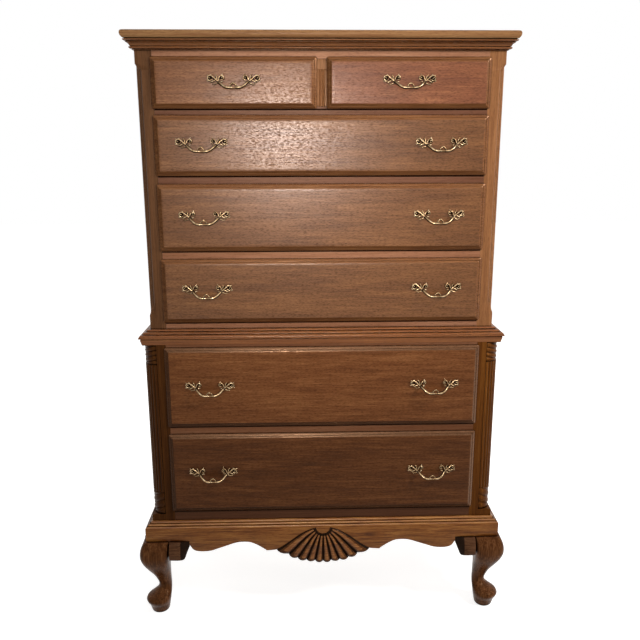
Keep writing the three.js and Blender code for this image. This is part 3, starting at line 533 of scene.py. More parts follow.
def antique_brass():
    """Pulls: cast brass, patinated brown-black in its hollows, and rubbed back to a pale bronze on
    what stands out and faces forward and a little up. Faces turned aside stay near black: partly
    patina and partly painted shade; the pale crests are partly wear and partly painted highlight."""
    material, tree = blank("antique_brass")
    shade = add(tree, "AmbientOcclusion", {"Distance": 6 * MM}, samples=8).outputs["AO"]
    open_air = add(tree, "MapRange", {"Value": shade, "From Min": 0.42, "From Max": 0.88})
    normal = add(tree, "NewGeometry").outputs["Normal"]
    # pale where a face turns forward and up: wear, and in part painted highlight; near black on flanks,
    # in part painted shade
    forward = add(tree, "VectorMath", {0: normal, 1: RUBBED_AND_LIT_FROM}, operation="DOT_PRODUCT")
    crest = add(tree, "MapRange", {"Value": forward, "From Min": 0.6, "From Max": 0.99})
    rubbed = add(tree, "Math", {0: open_air, 1: crest}, operation="MULTIPLY")
    space = add(tree, "TexCoord").outputs["Object"]
    cloud = add(tree, "TexNoise", {"Vector": space, "Scale": 1 / (6 * MM), "Detail": 4})
    metal = add(tree, "ValToRGB", {"Fac": cloud},
                zip((0.35, 0.5, 0.65), ("#775a3c", "#a68762", "#cdb28c")))
    colour = add(tree, "Mix", {"Factor": rubbed, "A": srgb("#1c1009"), "B": metal}, data_type="RGBA")
    rough = add(tree, "MapRange", {"Value": rubbed, "To Min": 0.55, "To Max": 0.28})
    bump = add(tree, "Bump", {"Strength": 0.25, "Distance": 0.2 * MM, "Height": cloud})
    shader = add(tree, "BsdfPrincipled",
                 {"Base Color": colour, "Metallic": 1.0, "Roughness": rough, "Normal": bump})
    add(tree, "OutputMaterial", {"Surface": shader})
    return material


def painted_shade_brass():
    """Near-black rough metal on the discs that close each opening in a pull: painted shade."""
    material, tree = blank("painted_shade_brass")
    space = add(tree, "TexCoord").outputs["Object"]
    cloud = add(tree, "TexNoise", {"Vector": space, "Scale": 1 / (3 * MM), "Detail": 4})
    colour = add(tree, "ValToRGB", {"Fac": cloud}, [(0.4, "#0d0704"), (0.65, "#2a1a0f")])
    bump = add(tree, "Bump", {"Strength": 0.4, "Distance": 0.3 * MM, "Height": cloud})
    shader = add(tree, "BsdfPrincipled",
                 {"Base Color": colour, "Metallic": 1.0, "Roughness": 0.7, "Normal": bump})
    add(tree, "OutputMaterial", {"Surface": shader})
    return material


# Top board and mouldings

def top_board():
    """Top board: its front and both ends are worked to a rounded nose."""
    low, high = span("top_board")[2]
    thick = high - low
    rings = []
    for inset, fall in smooth(NOSE, 4):
        half = UPPER_HALF + TOP_OVERHANG - inset * thick
        front = UPPER_FRONT - TOP_OVERHANG + inset * thick
        z = high - fall * thick
        rings.append([(-half, front, z), (half, front, z), (half, BACK, z), (-half, BACK, z)])
    return [loft(rings)]


def wrapped(profile):
    """A moulding round the front and sides of the upper case. Its profile is (out, height)."""
    rings = []
    for side, ahead in ((-1, False), (-1, True), (1, True), (1, False)):
        rings.append([(side * (UPPER_HALF + out), UPPER_FRONT - out if ahead else BACK, z)
                      for out, z in profile])
    return [loft(rings)]


def crown_profile():
    """A fillet under the top board, a quirk, a cove, and a bead with a quirk on each side."""
    reach, height = CROWN
    cove = smooth([(0.74, 0.36), (0.56, 0.42), (0.44, 0.54), (0.38, 0.66)], 4)
    bead = smooth([(0.4, 0.72), (0.46, 0.77), (0.46, 0.84), (0.38, 0.9)], 4)
    shares = [(0, 0), (0.84, 0), (0.84, 0.09), (1, 0.1), (1, 0.19), (0.94, 0.22), (0.72, 0.24),
              (0.72, 0.33), *cove, (0.3, 0.67), (0.3, 0.71), *bead, (0.14, 0.91), (0.14, 1), (0, 1)]
    top = UPPER_TOP - GLUE_GAP
    return [(GLUE_GAP + out * (reach - GLUE_GAP), top - fall * height) for out, fall in shares]


def waist_profile():
    """A slope of three beads parted by quirks, a sharp nose, and a small cove under it."""
    foot, seat, nose = CASE_STEP + GLUE_GAP, LOWER_TOP + GLUE_GAP, LOWER_TOP - GLUE_GAP
    slope = [*smooth([(0.06, 0.97), (0.13, 1), (0.24, 0.93), (0.31, 0.76)], 4), (0.28, 0.64),
             (0.38, 0.62), *smooth([(0.4, 0.68), (0.5, 0.66), (0.6, 0.54), (0.64, 0.4)], 4),
             (0.61, 0.28), (0.7, 0.26), *smooth([(0.72, 0.33), (0.84, 0.3), (0.93, 0.16), (0.96, 0)], 4)]
    rise = WAIST_RISE - WAIST_NOSE
    slope = [(out * WAIST_REACH, nose + WAIST_NOSE + up * rise) for out, up in slope]
    cove = [(foot + out * (WAIST_REACH - foot), nose - drop * WAIST_DROP) for out, drop
            in smooth([(0.1, 0.06), (0.42, 0.14), (0.36, 0.4), (0.16, 0.66), (0.04, 0.9)], 4)]
    return [(GLUE_GAP, seat), (GLUE_GAP, slope[0][1]), *slope, (WAIST_REACH, nose + WAIST_NOSE),
            (WAIST_REACH, nose), *cove, (foot, cove[-1][1]), (foot, seat)]


# Reeded work

def groove_dip(share, reeds, depth):
    """How deep a reeded face lies below its crest. Its two outer edges stay full."""
    phase = share * reeds
    if phase < 0.5 or phase > reeds - 0.5:
        return 0
    return depth * (1 - abs(sin(pi * phase)))


def corner_post():
    """Corner post, right side: square at both ends, with a reeded chamfer between two tongues."""
    steps = CHAMFER_REEDS * 10
    back = UPPER_FRONT + POST_DEPTH

    def section(depth, z):
        points = [(OPENING_HALF, back, z), (OPENING_HALF, UPPER_FRONT, z)]
        for i in range(steps + 1):
            share = i / steps
            dip = groove_dip(share, CHAMFER_REEDS, REED_DEPTH) * sqrt(0.5)
            in_x = lerp(max(1 - 2 * share, 0), 1 - share, depth) * CHAMFER
            in_y = lerp(max(2 * share - 1, 0), share, depth) * CHAMFER
            points.append((UPPER_HALF - in_x - dip * depth, UPPER_FRONT + in_y + dip * depth, z))
        return points + [(UPPER_HALF, back, z)]

    bottom, top = span("upper_post_right")[2]
    low, high = bottom + TONGUE_LOW[0], UPPER_TOP - TONGUE_HIGH[0]
    tongue = smooth(TONGUE, 4)
    levels = [(0, bottom), *((d, low + rise * TONGUE_LOW[1]) for rise, d in tongue),
              *((d, high - rise * TONGUE_HIGH[1]) for rise, d in reversed(tongue)), (0, top)]
    return [loft([section(depth, z) for depth, z in levels])]


def drawer_divider():
    """Divider between the small drawers: two reeds on its face, below a plain square top."""
    (x0, x1), (front, back), (bottom, top) = span("drawer_divider")
    face = x1 - LIP_OVERLAP * 2
    steps = 24

    def section(depth, z):
        points = [(x1, back, z), (x0, back, z), (x0, front, z)]
        for i in range(steps + 1):
            wave = abs(cos(tau * i / steps))
            points.append(((2 * i / steps - 1) * face, front + depth * REED_DEPTH * wave, z))
        return points + [(x1, front, z)]

    stop = top + GLUE_GAP - DIVIDER_HEAD
    run_out = [(1 - k / 6, stop - REED_DEPTH * (1 - k / 6) ** 2) for k in range(7)]
    return [loft([section(depth, z) for depth, z in [(1, bottom), *run_out, (0, top)]])]


def quarter_column():
    """Quarter column, right side: a reeded shaft between a rope-turned capital and base."""
    steps = COLUMN_REEDS * 8
    x, y = LOWER_HALF - COLUMN_RADIUS, LOWER_FRONT + COLUMN_RADIUS

    def ring(z, dip):
        points = [(x, y, z)]
        for i in range(steps + 1):
            turn = (i / steps - 1) * pi / 2
            radius = COLUMN_RADIUS - dip(i / steps)
            points.append((x + radius * cos(turn), y + radius * sin(turn), z))
        return points

    def rope(start, length, pitch):
        levels = round(length / pitch) * 12
        rings = []
        for i in range(levels + 1):
            rise = length * i / levels
            from_end = min(rise, length - rise)
            close = sqrt(max(0, 1 - from_end / ROPE_END[0])) if 0 < i < levels else 1

            def dip(share, rise=rise, close=close):
                wave = abs(sin(pi * (rise / pitch + share))) ** ROPE_FULLNESS
                return max(close * ROPE_END[1], 1 - wave) * ROPE_DEPTH
            rings.append(ring(start + rise, dip))
        return rings

    def reeds(share):
        return groove_dip(share, COLUMN_REEDS, COLUMN_REED_DEPTH)

    bottom, top = span("quarter_column_right")[2]
    shaft = (bottom + COLUMN_BASE[0] + COLUMN_QUIRK, top - COLUMN_CAPITAL[0] - COLUMN_QUIRK)
    return [loft([*rope(bottom, *COLUMN_BASE), *(ring(z, reeds) for z in shaft),
                  *rope(top - COLUMN_CAPITAL[0], *COLUMN_CAPITAL)])]


# Base frame

def ledge_profile():
    """The stepped top of the base frame as (in from the face, height): three small beads."""
    width, height = LEDGE[0] / LEDGE_BEADS, LEDGE[1] / LEDGE_BEADS
    wide, sunk, tall = BEAD
    top = BASE_TOP - GLUE_GAP
    points = []
    for i in range(LEDGE_BEADS):
        for k in range(7):
            turn = k / 6 * pi / 2
            points.append(((i + wide * (1 - cos(turn))) * width,
                           top - LEDGE[1] + (i - sunk + tall * sin(turn)) * height))
    return points + [(LEDGE[0], top), (APRON_THICKNESS, top)]


def apron_ring(place_point, bottom):
    """A section of an apron. place_point turns (in from the face, height) to a point."""
    ease = 1.2
    profile = [(APRON_THICKNESS, bottom), (ease, bottom), (ease * 0.3, bottom + ease * 0.3),
               (0, bottom + ease), *ledge_profile()]
    return [place_point(inward, z) for inward, z in profile]


def scallops(half_length, arch, end, middle=()):
    """Stations along an apron, with the height of its lower edge: level over both knee blocks,
    and an arch from each block to an end near the middle."""
    start = half_length - POST_INSIDE - BLOCK_LENGTH - GLUE_GAP
    half = [(half_length - APRON_THICKNESS - 1, APRON_FOOT), (start + 0.01, APRON_FOOT),
            *((lerp(start, end, share), LEG_TOP - drop * APRON_DROP)
              for share, drop in smooth(arch, 5)), *middle]
    return [(-at, z) for at, z in half] + [(at, z) for at, z in reversed(half) if at > 0]


def front_apron():
    """Front apron: mitred at both ends, and scalloped below as far as the shell."""
    half_shell = SHELL_HEIGHT * SHELL_REACH[0][1] * sin(SHELL_SWEEP / 2)
    middle = (half_shell / 2, SHELL_CENTRE - SHELL_HEIGHT / 2)

    def mitre(side):
        return apron_ring(lambda inward, z: (side * (BASE_HALF - inward - GLUE_GAP),
                                             BASE_FRONT + inward, z), APRON_FOOT)
    rings = [apron_ring(lambda inward, z, x=x: (x, BASE_FRONT + inward, z), bottom)
             for x, bottom in scallops(BASE_HALF, ARCH, half_shell, [middle])]
    return [loft([mitre(-1), *rings, mitre(1)])]


def side_apron():
    """Side apron, right side: mitred to the front apron, and square at the back."""
    mitre = apron_ring(lambda inward, z: (BASE_HALF - inward,
                                          BASE_FRONT + inward + GLUE_GAP, z), APRON_FOOT)
    square = apron_ring(lambda inward, z: (BASE_HALF - inward, BACK, z), APRON_FOOT)
    rings = [apron_ring(lambda inward, z, y=y: (BASE_HALF - inward, y, z), bottom)
             for y, bottom in scallops(BACK, SIDE_ARCH, 0)]
    return [loft([mitre, *rings, square])]


def lobe_reach(turn):
    """How far from the hub's centre the shell reaches: least in the middle, most at both ends."""
    share = 1 - min(abs(turn) / (SHELL_SWEEP / 2), 1)
    return SHELL_HEIGHT * along(SHELL_REACH, share)


def fan(at):
    """How much wider the lobes fan at a share of their length than at their tips."""
    return 1 + SHELL_FAN * (1 - at) ** 2


def shell():
    """Shell: lobes that fan out below a plain half-round hub, each with a small knob."""
    steps = SHELL_LOBES * 14
    section = smooth(SHELL_SECTION, 4)
    back = BASE_FRONT + APRON_THICKNESS
    rings = []
    for i in range(steps + 1):
        turn = (i / steps - 0.5) * SHELL_SWEEP
        crest = abs(sin(pi * SHELL_LOBES * i / steps)) ** LOBE_FULLNESS
        reach = lobe_reach(turn) - (1 - crest) * SHELL_RELIEF / 2
        rings.append([])
        for at, relief in section:
            height = relief * SHELL_RELIEF * lerp(GROOVE_FLOOR, 1, crest)
            rings[-1].append((at, BASE_FRONT - GLUE_GAP - height, reach, turn))
        rings[-1] += [(1, back, reach, turn), (0, back, reach, turn)]
    return [loft([[
        (lerp(SHELL_HUB, reach, at) * sin(turn * fan(at)), y,
         SHELL_CENTRE - lerp(SHELL_HUB, reach, at) * cos(turn * fan(at)))
        for at, y, reach, turn in ring] for ring in rings])]


def apron_wood(face):
    """Which wood a face of the apron shows: 0 the plain board, 1 a groove of the shell or the
    line round its hub, painted near black as shade, 2 the crest of a lobe, lighter as painted
    highlight, 3 a lobe's flank or tip, darker as painted shade, 4 the part of a bead of the ledge
    that faces up and forward, lighter as painted highlight."""
    x, y, z = face.center / MM
    if z > BASE_TOP - LEDGE[1]:
        return 4 if LIT_BEAD_FACING[0] < face.normal.z < LIT_BEAD_FACING[1] else 0
    radius, bearing = hypot(x, SHELL_CENTRE - z), atan2(x, SHELL_CENTRE - z)
    turn = bearing
    for _ in range(4):  # closes in on the angle that this lobe has at its tip
        at = (radius - SHELL_HUB) / (lobe_reach(turn) - SHELL_HUB)
        turn = bearing / fan(min(max(at, 0), 1))
    if y > BASE_FRONT - 0.2 or abs(turn) > SHELL_SWEEP / 2 or not 0 < at < 1.02:
        return 0
    crest = abs(sin(pi * SHELL_LOBES * (turn / SHELL_SWEEP + 0.5)))
    if crest < GROOVE_BELOW or at < HUB_LINE:
        return 1
    return 3 if crest < CREST_ABOVE or at > TIP_FROM else 2


def leg():
    """Cabriole leg, front right, with the post that rises behind the aprons."""
    plank = KNEE_REACH + POST_INSIDE
    count = 48
    rings = []
    for rise, outer, inner, squareness in smooth(LEG, 5):
        out = KNEE_REACH - max(outer, 0) * plank
        inn = KNEE_REACH - inner * plank
        middle, half = (out + inn) / 2, (out - inn) / 2
        z = min(rise * LEG_TOP, LEG_TOP)
        for line, depth, width in PAD_LINES:
            half -= depth * exp(-((z - line) / width) ** 2)
        ring = []
        for i in range(count):
            turn = tau * i / count
            c, s = cos(turn), sin(turn)
            size = (abs(c) ** squareness + abs(s) ** squareness) ** (-1 / squareness)
            ring.append((BASE_HALF + middle + half * size * c, BASE_FRONT - middle - half * size * s, z))
        rings.append(ring)
    face = APRON_THICKNESS + GLUE_GAP
    x, y = BASE_HALF - face, BASE_FRONT + face
    stump = board((x - STUMP, x), (y, y + STUMP), (LEG_TOP - 2, BASE_TOP - GLUE_GAP))
    return [loft(rings), stump]


def knee_block(start, place_point):
    """Knee block beside a leg. place_point turns (along, in from the face, height) to a point."""
    length = POST_INSIDE + BLOCK_LENGTH - start
    face = smooth(BLOCK_FACE, 4)
    rings = []
    for reach, swell, drop in smooth(BLOCK, 6):
        height = drop * BLOCK_HEIGHT
        far = start + min(reach, 1) * length
        ring = [place_point(far, -min(swell * bulge, 1) * KNEE_REACH, LEG_TOP - fall * height)
                for fall, bulge in face]
        rings.append(ring + [place_point(far, APRON_THICKNESS, z) for z in (LEG_TOP - height, LEG_TOP)])
    return [loft(rings)]


def front_block():
    """Knee block on the front apron, right side."""
    return knee_block(POST_INSIDE + GLUE_GAP,
                      lambda far, inward, z: (BASE_HALF - far, BASE_FRONT + inward, z))


def side_block(start):
    """Knee block on a side apron, right side, from a start behind the front."""
    return knee_block(start, lambda far, inward, z: (BASE_HALF - inward, BASE_FRONT + far, z))


# Drawer fronts

def drawer_front(node):
    """A rebated back that fills its opening, and a lip whose moulded edge is worn round at its
    corners."""
    (x0, x1), (front, back), (z0, z1) = span(node)
    lip_back = front + LIP
    plug = LIP_OVERLAP + PLUG_PLAY
    rounded, crisp, inside = LIP_CORNERS
    worn = 0.5

    def ring(inset, y, radius):
        a0, a1, b0, b1 = x0 + inset, x1 - inset, z0 + inset, z1 - inset
        points = []
        for cx, cz, start in ((a1 - radius, b1 - radius, 0), (a0 + radius, b1 - radius, 90),
                              (a0 + radius, b0 + radius, 180), (a1 - radius, b0 + radius, 270)):
            for k in range(6):
                turn = radians(start + 18 * k)
                points.append((cx + radius * cos(turn), y, cz + radius * sin(turn)))
        return points

    rings = [ring(plug, back, 1), ring(plug, lip_back, 1),
             ring(worn, lip_back, rounded - worn), ring(0, lip_back - worn, rounded)]
    for inset, rise in smooth(EDGE, 3):
        rings.append(ring(max(inset, 0), max(lip_back - EDGE_FLAT - rise, front),
                          lerp(rounded, crisp, min(inset / inside, 1))))
    return [loft(rings)]


def front_wood(face, front):
    """Which wood a face of a drawer front shows: 0 the veneered field, 1 the moulded edge, 2 the
    edge facing up or right, lighter as painted light and glossier, 3 the edge facing down, near
    black as painted shade."""
    if face.center.y < (front + LIP - EDGE_FLAT - FIELD_FROM) * MM:
        return 0
    # faces that look down are painted shade; those that look up or right, painted light
    if face.normal.z < SHADED_FOOT_FACING:
        return 3
    return 2 if max(face.normal.z, face.normal.x) > LIT_EDGE_FACING else 1


# Pulls

def strand(points, sides=8, flat=1.0, steps=5):
    """A tapering rod through points of (x, y, z, radius), closed at both ends."""
    path = smooth(points, steps)
    rings = []
    for i, (x, y, z, radius) in enumerate(path):
        here = Vector((x, y, z))
        ahead = Vector(path[min(i + 1, len(path) - 1)][:3])
        behind = Vector(path[max(i - 1, 0)][:3])
        run = (ahead - behind).normalized()
        out = Vector((0, -1, 0))
        out = (out - run * out.dot(run)).normalized()
        across = run.cross(out)
        rings.append([tuple(here + across * (radius * cos(tau * k / sides))
                            + out * (radius * flat * sin(tau * k / sides)))
                      for k in range(sides)])
    ends = [[tuple(Vector(path[k][:3]))] * sides for k in (0, -1)]
    return loft([ends[0], *rings, ends[1]])


def turned(profile, centre, axis="y", sides=16):
    """A turned shape: profile of (along, radius) about a line through a centre."""
    rings = []
    for run, radius in profile:
        ring = []
        for k in range(sides):
            turn = tau * k / sides
            a, b = radius * cos(turn), radius * sin(turn)
            spot = (a, run, b) if axis == "y" else (run, a, b)
            ring.append(tuple(p + q for p, q in zip(centre, spot)))
        rings.append(ring)
    return loft(rings)


def pull():
    """A cast bail that runs into a spray of leaves and scrolls at each end, with its two bolts.
    It lies against the face at Y zero."""
    shells = []
    spray = [
        [(37, -4.6, 1, 2.6), (42.5, -5, 5.5, 2.5), (48, -4.8, 10.5, 2.3), (53, -4.2, 15, 2.0),
         (56.5, -3.6, 19, 1.1)],
        [(52, -4.4, 13.5, 1.7), (57.5, -4.6, 16.2, 1.9), (62.4, -4.2, 14, 1.9),
         (64, -3.6, 9.5, 1.8), (62, -3.4, 5.2, 1.8), (57.6, -3.6, 3.8, 1.8), (53.4, -4, 6.6, 1.5)],
        [(44, -4.4, 6, 1.8), (49, -4.4, 3, 1.9), (54, -3.8, 0.6, 1.8), (58.5, -2.8, -0.6, 1.0)],
        [(61, -4, 14.6, 1.6), (64.6, -3, 18, 0.9)],
        [(39, -4.2, -1, 1.9), (44, -3.6, -3.4, 1.7), (49, -2.8, -4.6, 1.5), (53, -2.2, -3.4, 0.8)],
        [(38.5, -4.6, 3, 2.0), (36.8, -4.8, 8, 1.9), (34.4, -4.8, 13, 1.9), (30, -4.6, 16.4, 1.9),
         (25.4, -4.2, 14.6, 1.8), (23.8, -3.8, 10.4, 1.7), (26.2, -3.8, 6.8, 1.6),
         (30.4, -4, 7, 1.3)],
        [(29, -3.8, 16, 1.5), (27.6, -3.2, 19, 1.2), (27, -2.8, 21, 0.7)],
        [(42, -4.4, 5, 1.8), (41.4, -4.4, 11, 1.8), (43, -4, 16, 1.6), (46, -3, 18.6, 0.9)],
        [(35, -4.6, -1, 1.7), (30, -4, 1.4, 1.7), (26, -3, 1.8, 0.9)],
        [(62.4, -4.4, 11.6, 0.8), (60, -4.8, 11.2, 1.2), (58, -4.6, 9.4, 1.2), (58.2, -4, 7.4, 0.6)],
        [(26, -4.4, 12.2, 0.7), (28.6, -4.8, 12, 1.1), (29.8, -4.6, 10, 0.7)],
        [(60.6, -3.6, 4.6, 1.2), (64.4, -3, 2.8, 1.3), (66, -2.6, 5, 0.8)],
    ]
    for side in (-1, 1):
        for line in spray:
            shells.append(strand([(side * x, y, z, r) for x, y, z, r in line], 8, 0.9))
        shells.append(turned([(-4.6, 0.01), (-4.4, 1.6), (-3.4, 2.9), (-0.3, 3.4), (0, 2.3),
                              (20.8, 2.3), (20.8, 5), (22.2, 4.6), (23, 3), (23.2, 0.01)],
                             (side * BOLT_HALF, 0, 5.4)))
        shells.append(turned([(-1, 2.2), (-0.7, 2.9), (0, 3.1), (0.7, 2.9), (1, 2.2)],
                             (side * 7, -23.4, -13.6), "x", 12))
    half = [(39, -3.4, 2.5, 2.6), (37.2, -6, 1.2, 3.2), (34, -11.2, -1.4, 3.4),
            (28, -17.4, -7, 3.1), (21, -21, -11.6, 3.1), (13.5, -22.6, -13.6, 3.3),
            (6.5, -23, -13.7, 2.4)]
    other = [(-x, y, z, r) for x, y, z, r in half]
    shells.append(strand([*half, (0, -23, -13.9, 2.1), *reversed(other)], 12, 1.0, 6))
    arch = [(8, -22.6, -12.4, 1.8), (6.2, -23.2, -8, 2.2), (2.8, -23.6, -4.8, 2.1), (0, -23.8, -3.4, 2.4)]
    shells.append(strand([*arch, *((-x, y, z, r) for x, y, z, r in reversed(arch[:-1]))], 8))
    return shells


def pull_shade_discs():
    """Near-black discs that close the openings in a pull's ends: painted shade."""
    return [turned([(-1.4, radius - 0.6), (-1.2, radius), (-0.2, radius), (0, radius - 0.6)],
                   (side * x, 0, z))
            for side in (-1, 1) for x, z, radius in ((58.4, 9.8, 5.4), (29.6, 11.6, 5), (46, 9, 4.8))]


# The finishes that are in use

finish = {
    # Uprights on the left get darker copies of the wood: painted shade
    "upper_left": mahogany_upright("mahogany_upper_left", ("#50301a", "#603e25", "#70492d")),
    "upper_right": mahogany_upright("mahogany_upper_right", ("#784c2d", "#8e5e3a", "#a27049")),
    "lower_left": mahogany_upright("mahogany_lower_left", ("#3a1e0b", "#492810", "#593516"),
                                   0.09, "#ecbd92"),
    "lower_right": mahogany_upright("mahogany_lower_right", ("#512b0e", "#643814", "#77481c"),
                                    0.09, "#ecbd92"),
    "crown": mahogany_moulding("mahogany_crown", ("#653a1e", "#7a4a28", "#8c5a34")),
    "waist": mahogany_moulding("mahogany_waist", ("#6b3d20", "#834e2c", "#966037")),
    "top": mahogany_top(),
    "upper_lip": mahogany_lip("mahogany_upper_lip", ("#4d2c16", "#603b20", "#714a2b"), 0.16),
    "lower_lip": mahogany_lip("mahogany_lower_lip", ("#381f0f", "#462916", "#55351e"), 0.12),
    # Lighter, glossier copies of the lip for edges facing up or right: painted light
    "upper_lip_top": mahogany_lip("painted_lit_upper_lip", ("#5b351c", "#704527", "#835633"), 0.7),
    "lower_lip_top": mahogany_lip("painted_lit_lower_lip", ("#3e2211", "#4e2e19", "#5f3b22"), 1.0),
    # A near-black copy of the lip for edges facing down: painted shade
    "lip_foot": mahogany_lip("painted_shade_lip_foot", ("#120904", "#1a0e07", "#22130a"), 0.1),
    "base_front": plain_sawn_base("golden_base_front", "X"),
    "base_side": plain_sawn_base("golden_base_side", "Y"),
    # Shell grooves and flanks get darker wood as painted shade; shell crests and ledge beads lighter wood
    # as painted highlight
    "shell_groove": carved_hollow(),
    "shell_crest": plain_sawn_base("painted_lit_shell_crest", "X", ("#63320f", "#935626", "#b67a40"),
                                   3, 0.45),
    "shell_flank": plain_sawn_base("painted_shade_shell_flank", "X", ("#351906", "#573013", "#744620"),
                                   9, 0.2),
    "ledge_bead": plain_sawn_base("painted_lit_ledge_bead", "X", ("#6b3815", "#9c5f2c", "#c18544"),
                                  3, 0.9),
    "leg": stained_leg(),
    "block": stained_block(),
    "block_end": end_grain_and_painted_shade(),
    "board": bare_board("bare_drawer_board", "Y"),
    "back": bare_board("bare_back_board", "Z"),
    "brass": antique_brass(),
    "pull_shade_disc": painted_shade_brass(),
    **{f"front_{number}": mahogany_front(number) for number in DRAWERS},
}

# Case, base frame and legs

for node, ending, shells, sharp, wood in (
        ("top_board", "finished", top_board(), 35, "top"),
        ("crown_moulding", "run", wrapped(crown_profile()), 28, "crown"),
        ("waist_moulding", "run", wrapped(waist_profile()), 28, "waist"),
        ("drawer_divider", "reeded", drawer_divider(), 35, "upper_right")):
    place(surface(f"{node}_{ending}", shells, sharp, wood), node)

apron = surface("front_apron_carved", front_apron() + shell(), 40, "base_front", "shell_groove",
                "shell_crest", "shell_flank", "ledge_bead")
# painted shade in the shell's grooves and flanks, painted highlight on its crests and the ledge beads
for face in apron.polygons:
    face.material_index = apron_wood(face)
place(apron, "front_apron")

for side, x in (("left", -1), ("right", 1)):
    for name, shells, wood, slot in (
            ("upper_post", corner_post(), f"upper_{side}", "case_wood"),
            ("quarter_column", quarter_column(), f"lower_{side}", "case_wood"),
            ("side_apron", side_apron(), "base_side", "base_wood"),
            ("front_leg", leg(), "leg", "leg_wood"),
            ("front_knee_block", front_block(), "block", "block_wood"),
            ("side_knee_block", side_block(POST_INSIDE + GLUE_GAP), "block", "block_wood")):
        node = f"{name}_{side}"
        ends = ["block_end"] if "block" in node else []
        mesh = surface(f"{node}_finished", mirrored(shells, x), 40, wood, *ends)
        # The last stretch of a knee block gets the near-black end wood: end grain and painted shade
        if ends:
            reach = [abs(face.center["side" in node]) for face in mesh.polygons]
            for face, far in zip(mesh.polygons, reach):
                face.material_index = int(far < min(reach) + BLOCK_END * MM)
        place(mesh, node)
    node = f"rear_leg_{side}"
    shells = mirrored(leg() + side_block(POST_INSIDE - 2), x, -1)
    place(surface(f"{node}_finished", shells, 40, "leg"), node)

# Drawer fronts and pulls

# Near-black discs that close the pull's openings are painted shade
shade_discs = pull_shade_discs()
casting = surface("pull_casting", pull() + shade_discs, 50, "brass", "pull_shade_disc")
for face in casting.polygons[-sum(len(faces) for _, faces in shade_discs):]:
    face.material_index = 1

for number in DRAWERS:
    node = f"drawer_{number}_front"
    body = f"drawer_{number}"
    lip = "upper_lip" if number in UPPER_DRAWERS else "lower_lip"
    mesh = surface(f"{node}_moulded", drawer_front(node), 35, f"front_{number}", lip,
                   f"{lip}_top", "lip_foot")
    face_y, (bottom, top) = span(node)[1][0], span(node)[2]
    # Edges facing up or right get painted light, edges facing down painted shade
    for face in mesh.polygons:
        face.material_index = front_wood(face, face_y)
    place(mesh, node, body)
    for pull_node in [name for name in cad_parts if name.startswith(f"{body}_pull")]:
        low, high = span(pull_node)[0]
        made = place(casting, pull_node, body, f"{pull_node}_cast")
        made.location = Vector(((low + high) / 2, face_y, (bottom + top) / 2)) * MM

# Woods of the CAD's own solids that still show. Web frames are numbered from the bottom up: the
# show rails of the upper case are brown above the waist, redder higher up, and pale at the top.

brown, red, pale = (("#85563a", "#98674b", "#a9785a"), ("#5f3b27", "#6e4734", "#7c5541"),
                    ("#8f5f43", "#a47255", "#b58364"))
rail_tones = {"upper_web_frame_1": brown, "upper_web_frame_2": brown, "upper_web_frame_3": red,
              "upper_web_frame_4": red, "upper_web_frame_5": pale,
              "lower_web_frame_1": ("#472a18", "#553321", "#633f2a")}
for node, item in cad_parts.items():
    if item.hide_render:
        continue
    if "web_frame" in node:
        low, high = span(node)[2]
        lips = [span(f"drawer_{number}_front")[2][0] for number in DRAWERS]
        foot = next((lip for lip in lips if low < lip < high), low)
        front = UPPER_FRONT if "upper" in node else LOWER_FRONT
        finish[node] = framed_rail(f"mahogany_{node}", front + POST_DEPTH,
                                   rail_tones.get(node, ("#683e26", "#774c33", "#875b40")), foot)
        wood = node
    elif node.endswith("_box"):
        wood = "board"
    elif node.endswith("_back"):
        wood = "back"
    elif node == "rear_rail":
        wood = "base_front"
    else:
        wood = "_".join(("upper" if "upper" in node else "lower",
                         "left" if node.endswith("left") else "right"))
    item.data.materials.clear()
    item.data.materials.append(finish[wood])

# Light, floor and camera

scene = bpy.context.scene


def lamp(name, place_at, target, power, size, in_gloss=True, spread=180):
    """A rectangular lamp turned to a target, which shows in glossy wood or doesn't."""
    data = bpy.data.lights.new(name, "AREA")
    data.shape = "RECTANGLE"
    data.size, data.size_y = size
    data.energy = power
    data.spread = radians(spread)
    made = bpy.data.objects.new(name, data)
    made.location = place_at
    made.rotation_euler = (Vector(target) - Vector(place_at)).to_track_quat("-Z", "Y").to_euler()
    made.visible_glossy = in_gloss
    scene.collection.objects.link(made)


lamp("key_by_the_camera", (-0.12, -2.06, 1.42), (0.08, -0.2, 1.18), 2.8, (0.3, 0.24), True, 60)
lamp("soft_above_the_camera", (0, -2.3, 2.6), (0, -0.2, 0.8), 10, (1.6, 0.9))
lamp("ceiling_right", (1.9, -1.25, 2.35), (0.1, -0.2, 0.9), 38, (0.4, 0.4))
lamp("fill_left", (-2.2, 1.5, 1.6), (-0.4, 0, 0.9), 15, (1.6, 1.6), False)
lamp("fill_right", (2.2, 1.5, 1.6), (0.4, 0, 0.9), 12, (1.6, 1.6), False)
lamp("fill_back", (0.4, 3.0, 1.8), (0, 0, 0.8), 26, (1.6, 1.6), False)
lamp("fill_above", (0, 1.4, 3.0), (0, 0.2, 1.5), 18, (1.2, 1.2), False)


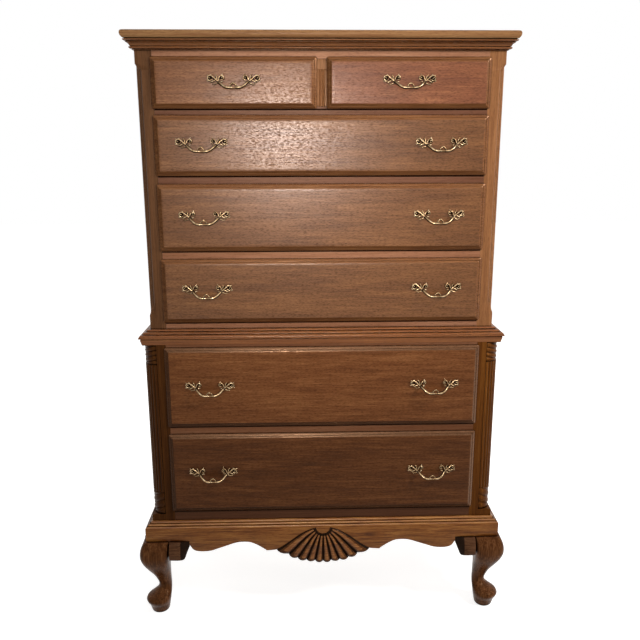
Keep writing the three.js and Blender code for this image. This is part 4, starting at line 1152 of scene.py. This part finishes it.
def seen(tree):
    """1 where a ray comes from the camera, a glossy surface or glass, and 0 for other light."""
    rays = add(tree, "LightPath").outputs
    either = add(tree, "Math", {0: rays["Is Camera Ray"], 1: rays["Is Glossy Ray"]}, operation="MAXIMUM")
    return add(tree, "Math", {0: either, 1: rays["Is Transmission Ray"]}, operation="MAXIMUM")


world = bpy.data.worlds.new("studio")
scene.world = world
world.use_nodes = True
sky = world.node_tree
sky.nodes.clear()
dim, white = [add(sky, "Background", {"Color": (1, 1, 1, 1), "Strength": strength})
              for strength in (0.08, 1.0)]
add(sky, "OutputWorld", {"Surface": add(sky, "MixShader", {0: seen(sky), 1: dim, 2: white})})


def studio_floor():
    """Pale matt floor. It shows white to the camera where nothing shades it."""
    material, tree = blank("studio_floor")
    matt = add(tree, "BsdfDiffuse", {"Color": srgb("#d9d7d3")})
    away = add(tree, "VectorMath", {0: add(tree, "TexCoord").outputs["Object"]}, operation="LENGTH")
    level = add(tree, "MapRange", {"Value": away, "From Min": 0.8, "From Max": 2.2,
                                   "To Min": 0.84, "To Max": 1.0})
    glow = add(tree, "Emission", {"Color": (1, 1, 1, 1), "Strength": level})
    both = add(tree, "AddShader", {0: matt, 1: glow})
    mixed = add(tree, "MixShader", {0: seen(tree), 1: matt, 2: both})
    add(tree, "OutputMaterial", {"Surface": mixed})
    return material


mesh = bpy.data.meshes.new("floor")
mesh.from_pydata([(x * FLOOR_REACH, y * FLOOR_REACH, 0)
                  for x, y in ((-1, -1), (1, -1), (1, 1), (-1, 1))], [], [(0, 1, 2, 3)])
mesh.materials.append(studio_floor())
floor = bpy.data.objects.new("floor", mesh)
floor.location.z = -0.5 * MM
scene.collection.objects.link(floor)
floor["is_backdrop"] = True

camera = bpy.data.objects.new("camera", bpy.data.cameras.new("camera"))
camera.location = (-0.05705, -2.0028, 1.28176)
camera.data.sensor_width = 36
camera.data.lens = 38.751
down, right, roll = 13.2022, 1.6199, 0.1394  # degrees
camera.rotation_mode = "QUATERNION"
tilt = Euler((radians(90 - down), 0, radians(-right))).to_quaternion()
camera.rotation_quaternion = tilt @ Quaternion((0, 0, 1), radians(-roll))
scene.collection.objects.link(camera)
scene.camera = camera
scene.view_settings.view_transform = "Standard"

low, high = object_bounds()
